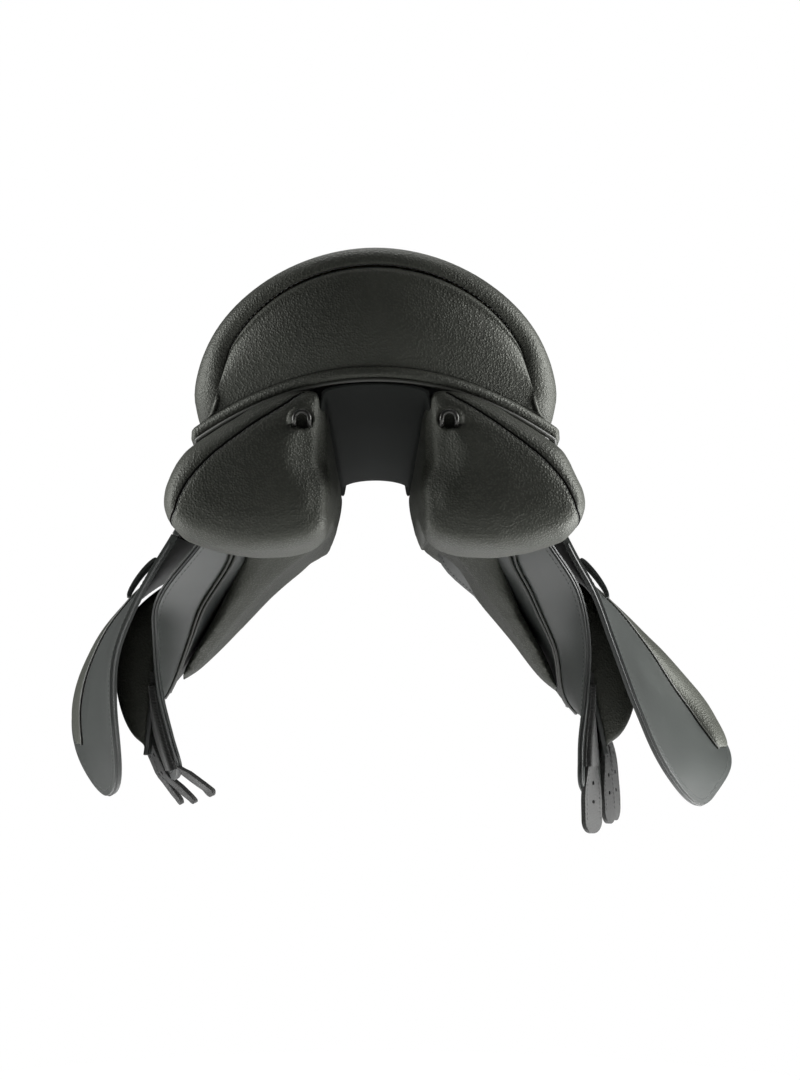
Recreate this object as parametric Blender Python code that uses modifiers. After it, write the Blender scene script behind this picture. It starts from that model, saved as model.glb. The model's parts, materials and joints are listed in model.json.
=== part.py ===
"""All-purpose English saddle, modelled at its real size in metres.

+Y points to the horse's head, +Z up and +X to the rider's right (off side). The origin is in the
middle of the gullet, at the height of the panels' channel edges: the line where the saddle sits
along the horse's back. Sub-parts are separate objects. Moving pieces hang from an empty that lies
on their hinge.
"""

import math

import bmesh
import bpy
import numpy as np
from mathutils import Matrix, Vector

# Clearances
GAP = 0.0004  # between pieces that rest on each other
LAYER_GAP = 0.0009  # between the seat's layers, which curve over each other
BILLET_GAP = 0.0011  # between a hanging strap and the curved flap behind it
PIN_CLEARANCE = 0.0005  # round a pin or a wire in its eye

# Seat: the rim is the middle line of the roll round the seat's edge
SEAT_BACK = 0.235  # origin to the rearmost point of the cantle
SEAT_FRONT = 0.215  # origin to the front of the pommel
CANTLE_WIDTH = 0.322
CANTLE_HEIGHT = 0.226
CANTLE_SIDE_HEIGHT = 0.100  # where the cantle's arch ends at its sides
CANTLE_SWEEP = 0.044  # how far the arch's ends lie in front of its top
CANTLE_SQUARENESS = 0.93  # 1 is an ellipse, and less is fuller at the corners
WAIST_WIDTH = 0.182
WAIST_HEIGHT = 0.066
HEAD_WIDTH = 0.130
POMMEL_HEIGHT = 0.176
SEAT_LOW = 0.098  # lowest point of the seat
SEAT_LOW_PLACE = -0.040
SPINE_BACK = -0.095  # ends of the seat's flat middle line
SPINE_FRONT = 0.152
CREST_FALL = 0.012  # from the pommel's top to the front end of the middle line
ROLL_RADIUS = 0.013
COVER_THICKNESS = 0.0025
FOAM_THICKNESS = 0.015
WEBBING_THICKNESS = 0.002
TREE_THICKNESS = 0.009
HEAD_PLATE_THICKNESS = 0.004

# Cantle facing and its welt
WELT_WIDTH = 0.318
WELT_HEIGHT = 0.117
WELT_DROP = 0.046  # height of the welt's middle over its ends
WELT_PLACE = -0.233
WELT_SWEEP = 0.047
WELT_DIAMETER = 0.009
PIPING_DIAMETER = 0.004
FACING_THICKNESS = 0.002
FACING_CROWN = 0.004

# Panels and gullet
GULLET_WIDTH = 0.070
GULLET_REAR_WIDTH = 0.092
GULLET_HEIGHT = 0.050  # ceiling of the channel at its lowest
GULLET_FRONT_HEIGHT = 0.080
LINING_THICKNESS = 0.002
LINING_RISE = 0.009
PANEL_BACK = 0.246
PANEL_FRONT = 0.208
PANEL_WIDTH = 0.364  # over both rear bulbs
PANEL_DEPTH = 0.038  # how far the rear bulbs reach below the channel edges

# Hanging sheets
SWEAT_THICKNESS = 0.006
FLAP_THICKNESS = 0.007
SKIRT_THICKNESS = 0.005
SWEAT_TOP = 0.025
FLAP_HINGE_HEIGHT = -0.012
FLAP_HINGE_SLOPE = -0.12  # how the hinge line comes in towards the front
FLAP_BACK = -0.060
FLAP_TOP_FRONT = 0.150
FLAP_REACH = 0.200  # furthest forward point of the flap
FOLD_SLOT = 0.0036  # how far the slot at the flap's bend opens towards the front
SKIRT_HEM = 0.90  # share of the way from the rim to the flap's hinge
SKIRT_BACK = -0.030
SKIRT_FRONT = 0.146
SHOULDER_DROP = 0.009  # top of the flap below the rim roll
SHOULDER_BOW = 0.010  # how far the flap's top bows out over the panel

# Stirrup bars, under the skirts
BAR_BACK = 0.052
BAR_FRONT = 0.108
BAR_PLACE = 0.36  # share of the way down the flap's top
BAR_DIAMETER = 0.008
BAR_PLATE_THICKNESS = 0.003
BAR_PLATE_WIDTH = 0.20  # as a share of the flap top's depth
BAR_LEATHER_SPACE = 0.008
CATCH_THICKNESS = 0.003

# Billets
BILLET_WIDTH = 0.025
BILLET_THICKNESS = 0.004
BILLET_TOP = 0.030
BILLET_REACH = 0.024  # below the sweat flap's hem
FRONT_BILLET_PLACE = 0.086
MIDDLE_BILLET_PLACE = 0.056
REAR_BILLET_PLACE = -0.014
SLEEVE_TOP = -0.150
SLEEVE_LENGTH = 0.078
SLEEVE_THICKNESS = 0.0018

# Blocks and pads
THIGH_BLOCK_PLACE = 0.022
THIGH_BLOCK_WIDTH = 0.036
THIGH_BLOCK_TOP = -0.062
THIGH_BLOCK_LOW = -0.200
THIGH_BLOCK_DEPTH = {"left": 0.030, "right": 0.042}
THIGH_BLOCK_TURN = -0.126  # height where a thigh block leaves the sweat flap
KNEE_BLOCK_PLACE = 0.122
KNEE_BLOCK_WIDTH = 0.040
KNEE_BLOCK_TOP = -0.045
KNEE_BLOCK_LOW = -0.165
KNEE_BLOCK_DEPTH = 0.030
FLAP_CLEARANCE = 0.003  # between a block and the flap over it
KNEE_PAD_THICKNESS = 0.006
KNEE_PAD_WIDTH = 0.056
KNEE_PAD_EDGE = 0.0015
KNEE_PAD_INSET = 0.004
KNEE_PAD_TOP = 0.12  # share of the flap's depth
KNEE_PAD_LOW = 0.80
KNEE_PAD_ROWS = 9
KEEPER_WIDTH = 0.020
KEEPER_HEIGHT = 0.034
KEEPER_DEPTH = 0.012
KEEPER_THICKNESS = 0.003
KEEPER_PLACE = 0.002
KEEPER_TOP = -0.036

# Metal rings
DEE_WIRE = 0.004
REAR_DEE_PLACE = 0.0627
REAR_DEE_HEIGHT = 0.076
REAR_DEE_WIDTH = 0.017
REAR_DEE_RISE = 0.014
REAR_DEE_DEPTH = 0.016
FRONT_DEE_WIDTH = 0.030
FRONT_DEE_RISE = 0.024
CHAPE_WIDTH = 0.014
CHAPE_WALL = 0.0025
CHAPE_LENGTH = 0.022
NAIL_DIAMETER = 0.011
NAIL_RISE = 0.004

GULLET_REAR_HEIGHT = WELT_HEIGHT - WELT_DIAMETER / 2 - PIPING_DIAMETER - LINING_THICKNESS / 2 - GAP
COVER_DEPTH = COVER_THICKNESS + LAYER_GAP
FOAM_DEPTH = COVER_DEPTH + FOAM_THICKNESS + LAYER_GAP
WEBBING_DEPTH = FOAM_DEPTH + WEBBING_THICKNESS + LAYER_GAP
TREE_DEPTH = WEBBING_DEPTH + TREE_THICKNESS + LAYER_GAP
SEAT_DEPTH = TREE_DEPTH + HEAD_PLATE_THICKNESS + GAP

# The two sides hang unevenly. Each level: height, place at y = 0, slope of place along y.
SWEAT_LEVELS = {
    "left": (
        (0.045, 0.098, -0.30),
        (0.025, 0.108, -0.36),
        (-0.019, 0.137, -0.43),
        (-0.080, 0.186, -0.27),
        (-0.108, 0.199, -0.14),
        (-0.155, 0.204, 0.07),
        (-0.230, 0.184, 0.16),
        (-0.270, 0.168, 0.18),
    ),
    "right": (
        (0.045, 0.098, -0.30),
        (0.025, 0.108, -0.38),
        (-0.022, 0.133, -0.48),
        (-0.061, 0.158, -0.32),
        (-0.108, 0.182, -0.11),
        (-0.165, 0.190, 0.12),
        (-0.251, 0.198, 0.18),
        (-0.292, 0.203, 0.19),
    ),
}
FLAP_LEVELS = {
    "left": (
        (FLAP_HINGE_HEIGHT, 0.180, FLAP_HINGE_SLOPE),
        (-0.045, 0.206, 0.01),
        (-0.080, 0.230, 0.14),
        (-0.127, 0.250, 0.22),
        (-0.165, 0.258, 0.287),
        (-0.212, 0.250, 0.335),
        (-0.260, 0.240, 0.364),
    ),
    "right": (
        (FLAP_HINGE_HEIGHT, 0.168, FLAP_HINGE_SLOPE),
        (-0.059, 0.197, 0.16),
        (-0.110, 0.221, 0.352),
        (-0.163, 0.248, 0.408),
        (-0.189, 0.262, 0.445),
        (-0.230, 0.282, 0.573),
        (-0.270, 0.290, 0.60),
    ),
}
SIGN = {"left": -1.0, "right": 1.0}
SWEAT_TIP = {"left": -0.240, "right": -0.262}
FLAP_TIP = {"left": -0.257, "right": -0.268}
WING_SLOPE = {"left": 0.863, "right": 0.976}  # fall of the panel's front wing, per unit across

# Outlines of the hanging sheets: share of the depth, back edge, front edge
SWEAT_OUTLINE = (
    (0.00, -0.062, 0.112),
    (0.17, -0.062, 0.138),
    (0.40, -0.050, 0.156),
    (0.55, -0.038, 0.162),
    (0.70, -0.034, 0.150),
    (0.85, -0.032, 0.122),
    (0.95, -0.026, 0.100),
    (1.00, -0.006, 0.080),
)
FLAP_OUTLINE = (
    (0.00, FLAP_BACK, FLAP_TOP_FRONT),
    (0.13, -0.056, FLAP_REACH - 0.032),
    (0.28, -0.050, FLAP_REACH - 0.013),
    (0.47, -0.045, FLAP_REACH - 0.001),
    (0.62, -0.041, FLAP_REACH),
    (0.74, -0.036, FLAP_REACH - 0.016),
    (0.85, -0.026, FLAP_REACH - 0.050),
    (0.94, -0.004, FLAP_REACH - 0.094),
    (1.00, 0.034, FLAP_REACH - 0.145),
)

CANTLE_COLUMNS = 9
SEAT_ROWS = 6
ROLL_ROWS = 3

for old in list(bpy.data.objects):
    bpy.data.objects.remove(old, do_unlink=True)


def collection(name):
    """A collection of this name, linked to the scene."""
    made = bpy.data.collections.new(name)
    bpy.context.scene.collection.children.link(made)
    return made


SADDLE = collection("all_purpose_saddle")
CUTTERS = collection("cutters")


def material(name, colour, roughness, metallic=0.0):
    made = bpy.data.materials.new(name)
    made.use_nodes = True
    shader = made.node_tree.nodes["Principled BSDF"]
    shader.inputs["Base Color"].default_value = (*colour, 1.0)
    shader.inputs["Roughness"].default_value = roughness
    shader.inputs["Metallic"].default_value = metallic
    return made


GRAINED = material("grained_synthetic_leather", (0.018, 0.020, 0.018), 0.50)
SMOOTH = material("smooth_synthetic_leather", (0.022, 0.024, 0.022), 0.34)
LINING = material("gullet_lining", (0.012, 0.013, 0.012), 0.55)
WEB = material("woven_webbing", (0.015, 0.015, 0.014), 0.80)
FOAM = material("seat_foam", (0.62, 0.58, 0.46), 0.90)
TREE = material("moulded_tree", (0.10, 0.10, 0.10), 0.60)
STEEL = material("steel", (0.56, 0.56, 0.55), 0.28, 1.0)


def add(name, mesh, look, place=None, cutter=False):
    """The mesh as an object of the saddle, or as a hidden cutter."""
    obj = bpy.data.objects.new(name, mesh)
    (CUTTERS if cutter else SADDLE).objects.link(obj)
    if cutter:
        obj.hide_render = True
        obj.display_type = "WIRE"
    if look is not None:
        mesh.materials.append(look)
    if place is not None:
        obj.location = place
    return obj


def smooth_shade(mesh, angle=40.0):
    mesh.shade_smooth()
    mesh.set_sharp_from_angle(angle=math.radians(angle))


def grid_mesh(name, rows, closed=False, caps=False):
    """A mesh of quads over rows of points. Closed rows are rings, and caps fan their two ends shut."""
    bm = bmesh.new()
    made = [[bm.verts.new(point) for point in row] for row in rows]
    count = len(made[0])
    for first, second in zip(made, made[1:]):
        for i in range(count if closed else count - 1):
            j = (i + 1) % count
            bm.faces.new((first[i], first[j], second[j], second[i]))
    if caps:
        for ring, backwards in ((made[0], True), (made[-1], False)):
            middle = sum((vert.co for vert in ring), Vector()) / count
            hub = bm.verts.new(middle)
            for i in range(count):
                corner = (ring[i], ring[(i + 1) % count])
                bm.faces.new((*(reversed(corner) if backwards else corner), hub))
        bmesh.ops.recalc_face_normals(bm, faces=bm.faces)
    mesh = bpy.data.meshes.new(name)
    bm.to_mesh(mesh)
    bm.free()
    smooth_shade(mesh)
    return mesh


def solidify(obj, outer, inner):
    """Gives an open surface a wall from outer to inner, both measured against its normals."""
    shell = obj.modifiers.new("Solidify", "SOLIDIFY")
    shell.thickness = inner - outer
    shell.offset = -2.0 * outer / (inner - outer) - 1.0
    return shell


def mirror(obj):
    twin = obj.modifiers.new("Mirror", "MIRROR")
    twin.use_axis[0] = True
    twin.merge_threshold = 0.0001
    twin.use_clip = True
    return twin


def boolean(obj, operation, other):
    cut = obj.modifiers.new(other.name, "BOOLEAN")
    cut.operation = operation
    cut.object = other
    return cut


def tube(name, points, radius, look, resolution=2, cyclic=False):
    """A round wire or roll along the points, with filled caps."""
    curve = bpy.data.curves.new(name, "CURVE")
    curve.dimensions = "3D"
    curve.bevel_depth = radius
    curve.bevel_resolution = resolution
    curve.use_fill_caps = True
    spline = curve.splines.new("POLY")
    spline.points.add(len(points) - 1)
    for knot, point in zip(spline.points, points):
        knot.co = (*point, 1.0)
    spline.use_cyclic_u = cyclic
    obj = bpy.data.objects.new(name, curve)
    SADDLE.objects.link(obj)
    curve.materials.append(look)
    return obj


def as_mesh(obj, cutter=False):
    """The evaluated object as a mesh object with welded caps, in place of the first one."""
    graph = bpy.context.evaluated_depsgraph_get()
    mesh = bpy.data.meshes.new_from_object(obj.evaluated_get(graph))
    name = obj.name
    place = obj.matrix_world.copy()
    bpy.data.objects.remove(obj, do_unlink=True)
    bm = bmesh.new()
    bm.from_mesh(mesh)
    bmesh.ops.remove_doubles(bm, verts=bm.verts, dist=0.00001)
    bmesh.ops.recalc_face_normals(bm, faces=bm.faces)
    bm.to_mesh(mesh)
    bm.free()
    mesh.name = name
    smooth_shade(mesh)
    made = add(name, mesh, None, cutter=cutter)
    made.matrix_world = place
    return made


def pivot(name, place, direction):
    """An empty on a hinge, with its Z axis along the pin."""
    empty = bpy.data.objects.new(name, None)
    empty.empty_display_size = 0.02
    SADDLE.objects.link(empty)
    empty.location = place
    empty.rotation_euler = Vector(direction).to_track_quat("Z", "Y").to_euler()
    return empty


def carry(child, parent):
    """Parents the child and leaves it where it is."""
    bpy.context.view_layer.update()
    child.parent = parent
    child.matrix_parent_inverse = parent.matrix_world.inverted()


def through(knots, at):
    """Value of a smooth curve through (place, value) knots, with cubic stretches between them."""
    places = np.array([knot[0] for knot in knots])
    values = np.array([knot[1] for knot in knots])
    if places[0] > places[-1]:
        places = places[::-1]
        values = values[::-1]
    slopes = np.gradient(values, places)
    if at <= places[0]:
        return float(values[0] + slopes[0] * (at - places[0]))
    if at >= places[-1]:
        return float(values[-1] + slopes[-1] * (at - places[-1]))
    i = min(int(np.searchsorted(places, at, side="right")) - 1, len(places) - 2)
    width = places[i + 1] - places[i]
    t = (at - places[i]) / width
    return float(
        (2 * t**3 - 3 * t**2 + 1) * values[i]
        + (t**3 - 2 * t**2 + t) * width * slopes[i]
        + (3 * t**2 - 2 * t**3) * values[i + 1]
        + (t**3 - t**2) * width * slopes[i + 1]
    )


def spline_points(points, steps, closed=False):
    """Points of a Catmull-Rom curve through the given ones, with so many steps between two of them."""
    given = [Vector(point) for point in points]
    count = len(given)
    made = []
    for i in range(count if closed else count - 1):
        if closed:
            a, b, c, d = (given[(i + k) % count] for k in (-1, 0, 1, 2))
        else:
            b, c = given[i], given[i + 1]
            a = given[i - 1] if i else b * 2 - c
            d = given[i + 2] if i + 2 < count else c * 2 - b
        for k in range(steps):
            t = k / steps
            made.append(
                ((b * 2) + (c - a) * t + (a * 2 - b * 5 + c * 4 - d) * t**2
                 + (b * 3 - a - c * 3 + d) * t**3) / 2
            )
    if not closed:
        made.append(given[-1])
    return made


# Seat

def rim_stations():
    """Points of the rim's middle line, from the top of the cantle round the right side to the pommel."""
    half = CANTLE_WIDTH / 2 - ROLL_RADIUS
    top = CANTLE_HEIGHT - ROLL_RADIUS
    back = -SEAT_BACK + ROLL_RADIUS
    front = SEAT_FRONT - ROLL_RADIUS
    head = HEAD_WIDTH / 2 - ROLL_RADIUS
    waist = WAIST_WIDTH / 2 - ROLL_RADIUS
    crest = POMMEL_HEIGHT - ROLL_RADIUS
    stations = []
    for step in range(CANTLE_COLUMNS):
        turn = math.pi / 2 * step / (CANTLE_COLUMNS - 1)
        stations.append((
            half * math.sin(turn) ** CANTLE_SQUARENESS,
            back + CANTLE_SWEEP * (1 - math.cos(turn)),
            CANTLE_SIDE_HEIGHT + (top - CANTLE_SIDE_HEIGHT) * math.cos(turn) ** CANTLE_SQUARENESS,
        ))
    low = WAIST_HEIGHT
    stations += [
        (half * 0.965, -0.138, low + 0.40 * (CANTLE_SIDE_HEIGHT - low)),
        (half * 0.86, -0.095, low + 0.12 * (CANTLE_SIDE_HEIGHT - low)),
        (waist + 0.50 * (half - waist), -0.045, low),
        (waist + 0.22 * (half - waist), 0.005, low),
        (waist + 0.06 * (half - waist), 0.050, low + 0.002),
        (waist, 0.092, low + 0.04 * (crest - low)),
        (head + 0.70 * (waist - head), 0.130, low + 0.15 * (crest - low)),
        (head + 0.10 * (waist - head), 0.162, low + 0.35 * (crest - low)),
        (head * 0.80, front - 0.020, low + 0.63 * (crest - low)),
        (head * 0.45, front - 0.006, low + 0.90 * (crest - low)),
        (0.0, front, crest),
    ]
    return stations


RIM_KNOTS = rim_stations()


def rim_line():
    """Rim points with their outward and upward directions, one for each column."""
    knots = [Vector(knot) for knot in RIM_KNOTS]
    before = Vector((-knots[1].x, knots[1].y, knots[1].z))
    after = Vector((-knots[-2].x, knots[-2].y, knots[-2].z))
    whole = [before, *knots, after]
    made = []
    for column, knot in enumerate(knots):
        along = (whole[column + 2] - whole[column]).normalized()
        made.append((knot, along))
    return made


def spine(place):
    """The seat's middle line at this y."""
    rise = POMMEL_HEIGHT - CREST_FALL - SEAT_LOW
    reach = SPINE_FRONT - SEAT_LOW_PLACE
    if place > SEAT_LOW_PLACE:
        return Vector((0, place, SEAT_LOW + rise * ((place - SEAT_LOW_PLACE) / reach) ** 2.1))
    return Vector((0, place, SEAT_LOW + 0.9 * (SEAT_LOW_PLACE - place) ** 2 / SEAT_BACK))


def seam_angle(column):
    """Where the cover ends round the roll, measured down from straight out."""
    turn = math.pi / 2 * min(column / (CANTLE_COLUMNS - 1), 1.0)
    return -math.radians(6 + 74 * math.sin(turn) ** 2)


def seat_grid():
    """Rows of points over half of the seat's top, from the spine to the rim and round its roll."""
    columns = rim_line()
    rows = [[] for _ in range(SEAT_ROWS + ROLL_ROWS + 1)]
    rims = []
    for column, (rim, along) in enumerate(columns):
        share = column / (len(columns) - 1)
        ease = share * share * (3 - 2 * share)
        root = spine(SPINE_BACK + (SPINE_FRONT - SPINE_BACK) * ease)
        away = Vector((rim.x - root.x, rim.y - root.y, 0))
        outward = (away - along * away.dot(along)).normalized()
        upward = outward.cross(along)
        upward = upward if upward.z > 0 else -upward
        bend = 2.2 - 0.3 * share
        slope = math.atan(bend * (rim.z + ROLL_RADIUS - root.z) / away.length)
        start = math.pi / 2 + slope
        edge = rim + (outward * math.cos(start) + upward * math.sin(start)) * ROLL_RADIUS
        for row in range(SEAT_ROWS + 1):
            t = row / SEAT_ROWS
            flat = root.lerp(edge, t)
            flat.z = root.z + (edge.z - root.z) * t**bend
            rows[row].append(flat)
        last = seam_angle(column)
        for row in range(1, ROLL_ROWS + 1):
            turn = start + (last - start) * row / ROLL_ROWS
            point = rim + (outward * math.cos(turn) + upward * math.sin(turn)) * ROLL_RADIUS
            rows[SEAT_ROWS + row].append(point)
        rims.append((rim, outward, upward))
    for row in rows:
        row[0].x = 0.0
        row[-1].x = 0.0
    return rows, rims


SEAT_GRID, RIMS = seat_grid()


def mirrored(row, column):
    """The row's point in this column, carried on past the middle plane at both ends."""
    if 0 <= column < len(row):
        return row[column]
    inside = row[1] if column < 0 else row[-2]
    return Vector((-inside.x, inside.y, inside.z))


def seat_normals():
    """Directions out of the seat's face at each point of its grid."""
    made = []
    for row, points in enumerate(SEAT_GRID):
        before = SEAT_GRID[max(row - 1, 0)]
        after = SEAT_GRID[min(row + 1, len(SEAT_GRID) - 1)]
        normals = []
        for column in range(len(points)):
            if row == 0:
                last = len(points) - 1
                run = points[min(column + 1, last)] - points[max(column - 1, 0)]
                normals.append(Vector((0.0, -run.z, run.y)).normalized())
                continue
            along = mirrored(points, column + 1) - mirrored(points, column - 1)
            across = after[column] - before[column]
            normals.append(across.cross(along).normalized())
        made.append(normals)
    return made


SEAT_NORMALS = seat_normals()


def sunk(row, depth):
    """A row of the seat's grid, moved below its face by a depth."""
    pairs = zip(SEAT_GRID[row], SEAT_NORMALS[row])
    return [point - normal * depth for point, normal in pairs]


def seat_layer(name, rows, outer, inner, look, columns=None):
    """One layer of the seat: these rows of the grid as a shell between two depths below its face."""
    first, last = columns or (0, len(RIMS))
    points = [sunk(row, outer) for row in rows]
    if rows[-1] == SEAT_ROWS - 1:
        whole = len(RIMS) - 1
        points[-1] = [
            edge.lerp(inside, 0.9 * (column / whole) ** 2)
            for column, (edge, inside) in enumerate(zip(points[-1], points[-2]))
        ]
    mesh = grid_mesh(name, [row[first:last] for row in points])
    mesh.flip_normals()
    layer = add(name, mesh, look)
    mirror(layer)
    solidify(layer, 0.0, inner - outer)
    return layer


def seat():
    """Cover, foam, webbing and tree, laid on each other, and the steel plate under the tree's head."""
    seat_layer("seat_cover", range(len(SEAT_GRID)), 0.0, COVER_THICKNESS, GRAINED)
    padded = range(SEAT_ROWS + 1)
    seat_layer("seat_foam", padded, COVER_DEPTH, COVER_DEPTH + FOAM_THICKNESS, FOAM)
    webbed = range(SEAT_ROWS - 1)
    behind = (0, len(RIMS) - 3)
    seat_layer("seat_webbing", webbed, FOAM_DEPTH, FOAM_DEPTH + WEBBING_THICKNESS, WEB, behind)
    frame = range(SEAT_ROWS - 4, SEAT_ROWS)
    seat_layer("tree_frame", frame, WEBBING_DEPTH, WEBBING_DEPTH + TREE_THICKNESS, TREE)
    head = (len(RIMS) - 5, len(RIMS))
    plate_inner = TREE_DEPTH + HEAD_PLATE_THICKNESS
    seat_layer("head_plate", frame[1:], TREE_DEPTH, plate_inner, STEEL, head)


def welt_point(across, drop=0.0, behind=0.0):
    """Middle line of the welt under the cantle, at this x."""
    share = 2 * across / WELT_WIDTH
    slope = 4 * WELT_DROP * share / WELT_WIDTH
    height = WELT_HEIGHT - WELT_DROP * share**2 - drop * math.sqrt(1 + slope**2)
    return Vector((across, WELT_PLACE + WELT_SWEEP * share**2 - behind, height))


def cantle():
    """The facing between the cover's seam and the welt, and the welt with its piping."""
    lower_edge = WELT_DIAMETER / 2 + 2 * GAP
    rows = [[] for _ in range(5)]
    for column in range(CANTLE_COLUMNS):
        seam = SEAT_GRID[-1][column]
        turn = math.pi / 2 * column / (CANTLE_COLUMNS - 1)
        foot = welt_point(WELT_WIDTH / 2 * math.sin(turn), -lower_edge)
        fall = foot - seam
        top = seam + fall.normalized() * 4 * GAP
        for row in range(5):
            share = row / 4
            point = top.lerp(foot, share)
            point.y -= 3 * GAP + FACING_CROWN * math.sin(math.pi * share)
            rows[row].append(point)
    mesh = grid_mesh("cantle_facing", rows)
    facing = add("cantle_facing", mesh, GRAINED)
    mirror(facing)
    solidify(facing, 0.0, FACING_THICKNESS)
    reach = WELT_WIDTH / 2
    spots = [reach * math.sin(math.pi / 2 * k / 9) for k in range(-9, 10)]
    tube("cantle_welt", [welt_point(x) for x in spots], WELT_DIAMETER / 2, GRAINED, 1)
    below = (WELT_DIAMETER + PIPING_DIAMETER) / 2 - GAP
    tube("cantle_piping", [welt_point(x, below) for x in spots], PIPING_DIAMETER / 2, SMOOTH, 1)


def pommel_arch(turn):
    """Lower edge of the pommel's facing: an arch over the gullet, from its crown round to its side."""
    half = HEAD_WIDTH / 2 - ROLL_RADIUS / 2
    crown = GULLET_FRONT_HEIGHT + 4 * GAP + 0.008
    foot = WAIST_HEIGHT - 0.004
    height = foot + (crown - foot) * math.cos(turn)
    return Vector((half * math.sin(turn), SEAT_FRONT - 0.007 - 0.022 * math.sin(turn) ** 2, height))


def pommel_rows(count=5):
    """Rows of points over half of the pommel's facing, from the cover's edge to the arch."""
    first = len(RIMS) - 4
    rows = [[] for _ in range(count)]
    for column in range(first, len(RIMS)):
        seam = SEAT_GRID[-1][column]
        turn = math.pi / 2 * (len(RIMS) - 1 - column) / 3
        foot = pommel_arch(turn)
        top = seam + (foot - seam).normalized() * 2 * GAP
        for row in range(count):
            rows[row].append(top.lerp(foot, row / (count - 1)))
    return rows


def pommel():
    """The facing that closes the pommel's front."""
    mesh = grid_mesh("pommel_facing", pommel_rows())
    facing = add("pommel_facing", mesh, GRAINED)
    mirror(facing)
    solidify(facing, 0.0, FACING_THICKNESS)


# Panels and gullet

CHANNEL = (
    (-PANEL_BACK, GULLET_REAR_WIDTH / 2 + 0.003),
    (-0.225, GULLET_REAR_WIDTH / 2),
    (-0.170, 0.041),
    (-0.110, GULLET_WIDTH / 2 + 0.002),
    (-0.050, GULLET_WIDTH / 2),
    (0.100, GULLET_WIDTH / 2),
    (0.170, GULLET_WIDTH / 2 - 0.001),
    (PANEL_FRONT, GULLET_WIDTH / 2 - 0.002),
)
CEILING = (
    (-0.232, GULLET_REAR_HEIGHT),
    (-0.150, 0.078),
    (-0.060, GULLET_HEIGHT + 0.006),
    (0.000, GULLET_HEIGHT),
    (0.080, GULLET_HEIGHT + 0.004),
    (0.150, GULLET_FRONT_HEIGHT - 0.014),
    (PANEL_FRONT, GULLET_FRONT_HEIGHT),
)
BULB = (
    (-PANEL_BACK, PANEL_WIDTH / 2 - 0.017),
    (-0.236, PANEL_WIDTH / 2 - 0.006),
    (-0.210, PANEL_WIDTH / 2),
    (-0.165, PANEL_WIDTH / 2 - 0.002),
    (-0.110, PANEL_WIDTH / 2 - 0.022),
    (-0.050, PANEL_WIDTH / 2 - 0.050),
    (0.000, PANEL_WIDTH / 2 - 0.066),
)
BULB_LOW = (
    (-PANEL_BACK, -0.65 * PANEL_DEPTH),
    (-0.236, -0.85 * PANEL_DEPTH),
    (-0.210, -PANEL_DEPTH),
    (-0.165, -PANEL_DEPTH),
    (-0.110, -0.82 * PANEL_DEPTH),
    (-0.050, -0.64 * PANEL_DEPTH),
    (0.000, -0.55 * PANEL_DEPTH),
)
WING_LOW = (
    (0.012, -0.026),
    (0.050, -0.075),
    (0.095, -0.122),
    (0.135, -0.150),
    (0.168, -0.100),
    (0.194, -0.060),
)
PANEL_TOP = (
    (-PANEL_BACK, 0.086),
    (-0.236, 0.0943),
    (-0.215, 0.0970),
    (-0.170, 0.085),
    (-0.110, 0.070),
    (-0.050, 0.060),
    (0.010, 0.056),
    (0.100, 0.056),
    (0.150, 0.056),
    (PANEL_FRONT, 0.052),
)
REAR_STATIONS = (-0.240, -0.228, -0.205, -0.165, -0.110, -0.050)
WING_STATIONS = (0.012, 0.050, 0.095, 0.135, 0.168, 0.194)


class Drape:
    """The horse's side of a hanging sheet: how far out it lies at each y and height."""

    def __init__(self, side, levels):
        self.sign = SIGN[side]
        self.places = [(height, place) for height, place, _ in levels]
        self.slopes = [(height, slope) for height, _, slope in levels]

    def reach(self, y, z):
        return through(self.places, z) + y * through(self.slopes, z)

    def normal(self, y, z):
        step = 0.002
        along = (self.reach(y + step, z) - self.reach(y - step, z)) / (2 * step)
        fall = (self.reach(y, z + step) - self.reach(y, z - step)) / (2 * step)
        return Vector((1.0, -along, -fall)).normalized()

    def point(self, y, z, out=0.0):
        """The point of the face at y and z, moved out along the face's normal."""
        face = Vector((self.reach(y, z), y, z)) + self.normal(y, z) * out
        face.x *= self.sign
        return face


SWEAT = {side: Drape(side, levels) for side, levels in SWEAT_LEVELS.items()}


def beside(side, y, z):
    """Where the sweat flap's inner face lies, carried straight on ahead of its front edge."""
    depth = (SWEAT_TOP - z) / (SWEAT_TOP - SWEAT_TIP[side])
    edge = through([(share, front) for share, _, front in SWEAT_OUTLINE], min(max(depth, 0.0), 1.0))
    return SWEAT[side].reach(min(y, edge), z)


FLAP = {side: Drape(side, levels) for side, levels in FLAP_LEVELS.items()}
PANEL_CLEARANCE = 0.0042
SEWN_SHORT = 0.020  # how far in front of the sweat flap's back edge the sewn edge starts
SEWN_IN = PANEL_CLEARANCE - 0.0022  # how far the sweat flap's top edge turns in to the panel
WING_EDGE = 0.010  # thickness of the front wing's lower edge


def rear_ring(y):
    """Section of a panel behind the waist, on the right side."""
    inner = through(CHANNEL, y)
    top = through(PANEL_TOP, y)
    bulge = through(BULB, y)
    low = through(BULB_LOW, y)
    foot = GULLET_WIDTH / 2 + 0.0005
    return [
        (foot, low + 0.024),
        (0.5 * (foot + inner), 0.010 + 0.30 * top),
        (inner, top - 0.004),
        (inner + 0.010, top + 0.003),
        (inner + 0.45 * (bulge - inner), top - 0.010),
        (bulge - 0.026, 0.25 * top + 0.034),
        (bulge - 0.013, 0.12 * top + 0.035),
        (bulge - 0.004, 0.030),
        (bulge, 0.004),
        (bulge - 0.016, low + 0.013),
        (0.60 * bulge, low),
        (foot + 0.018, low + 0.006),
    ]


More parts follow.
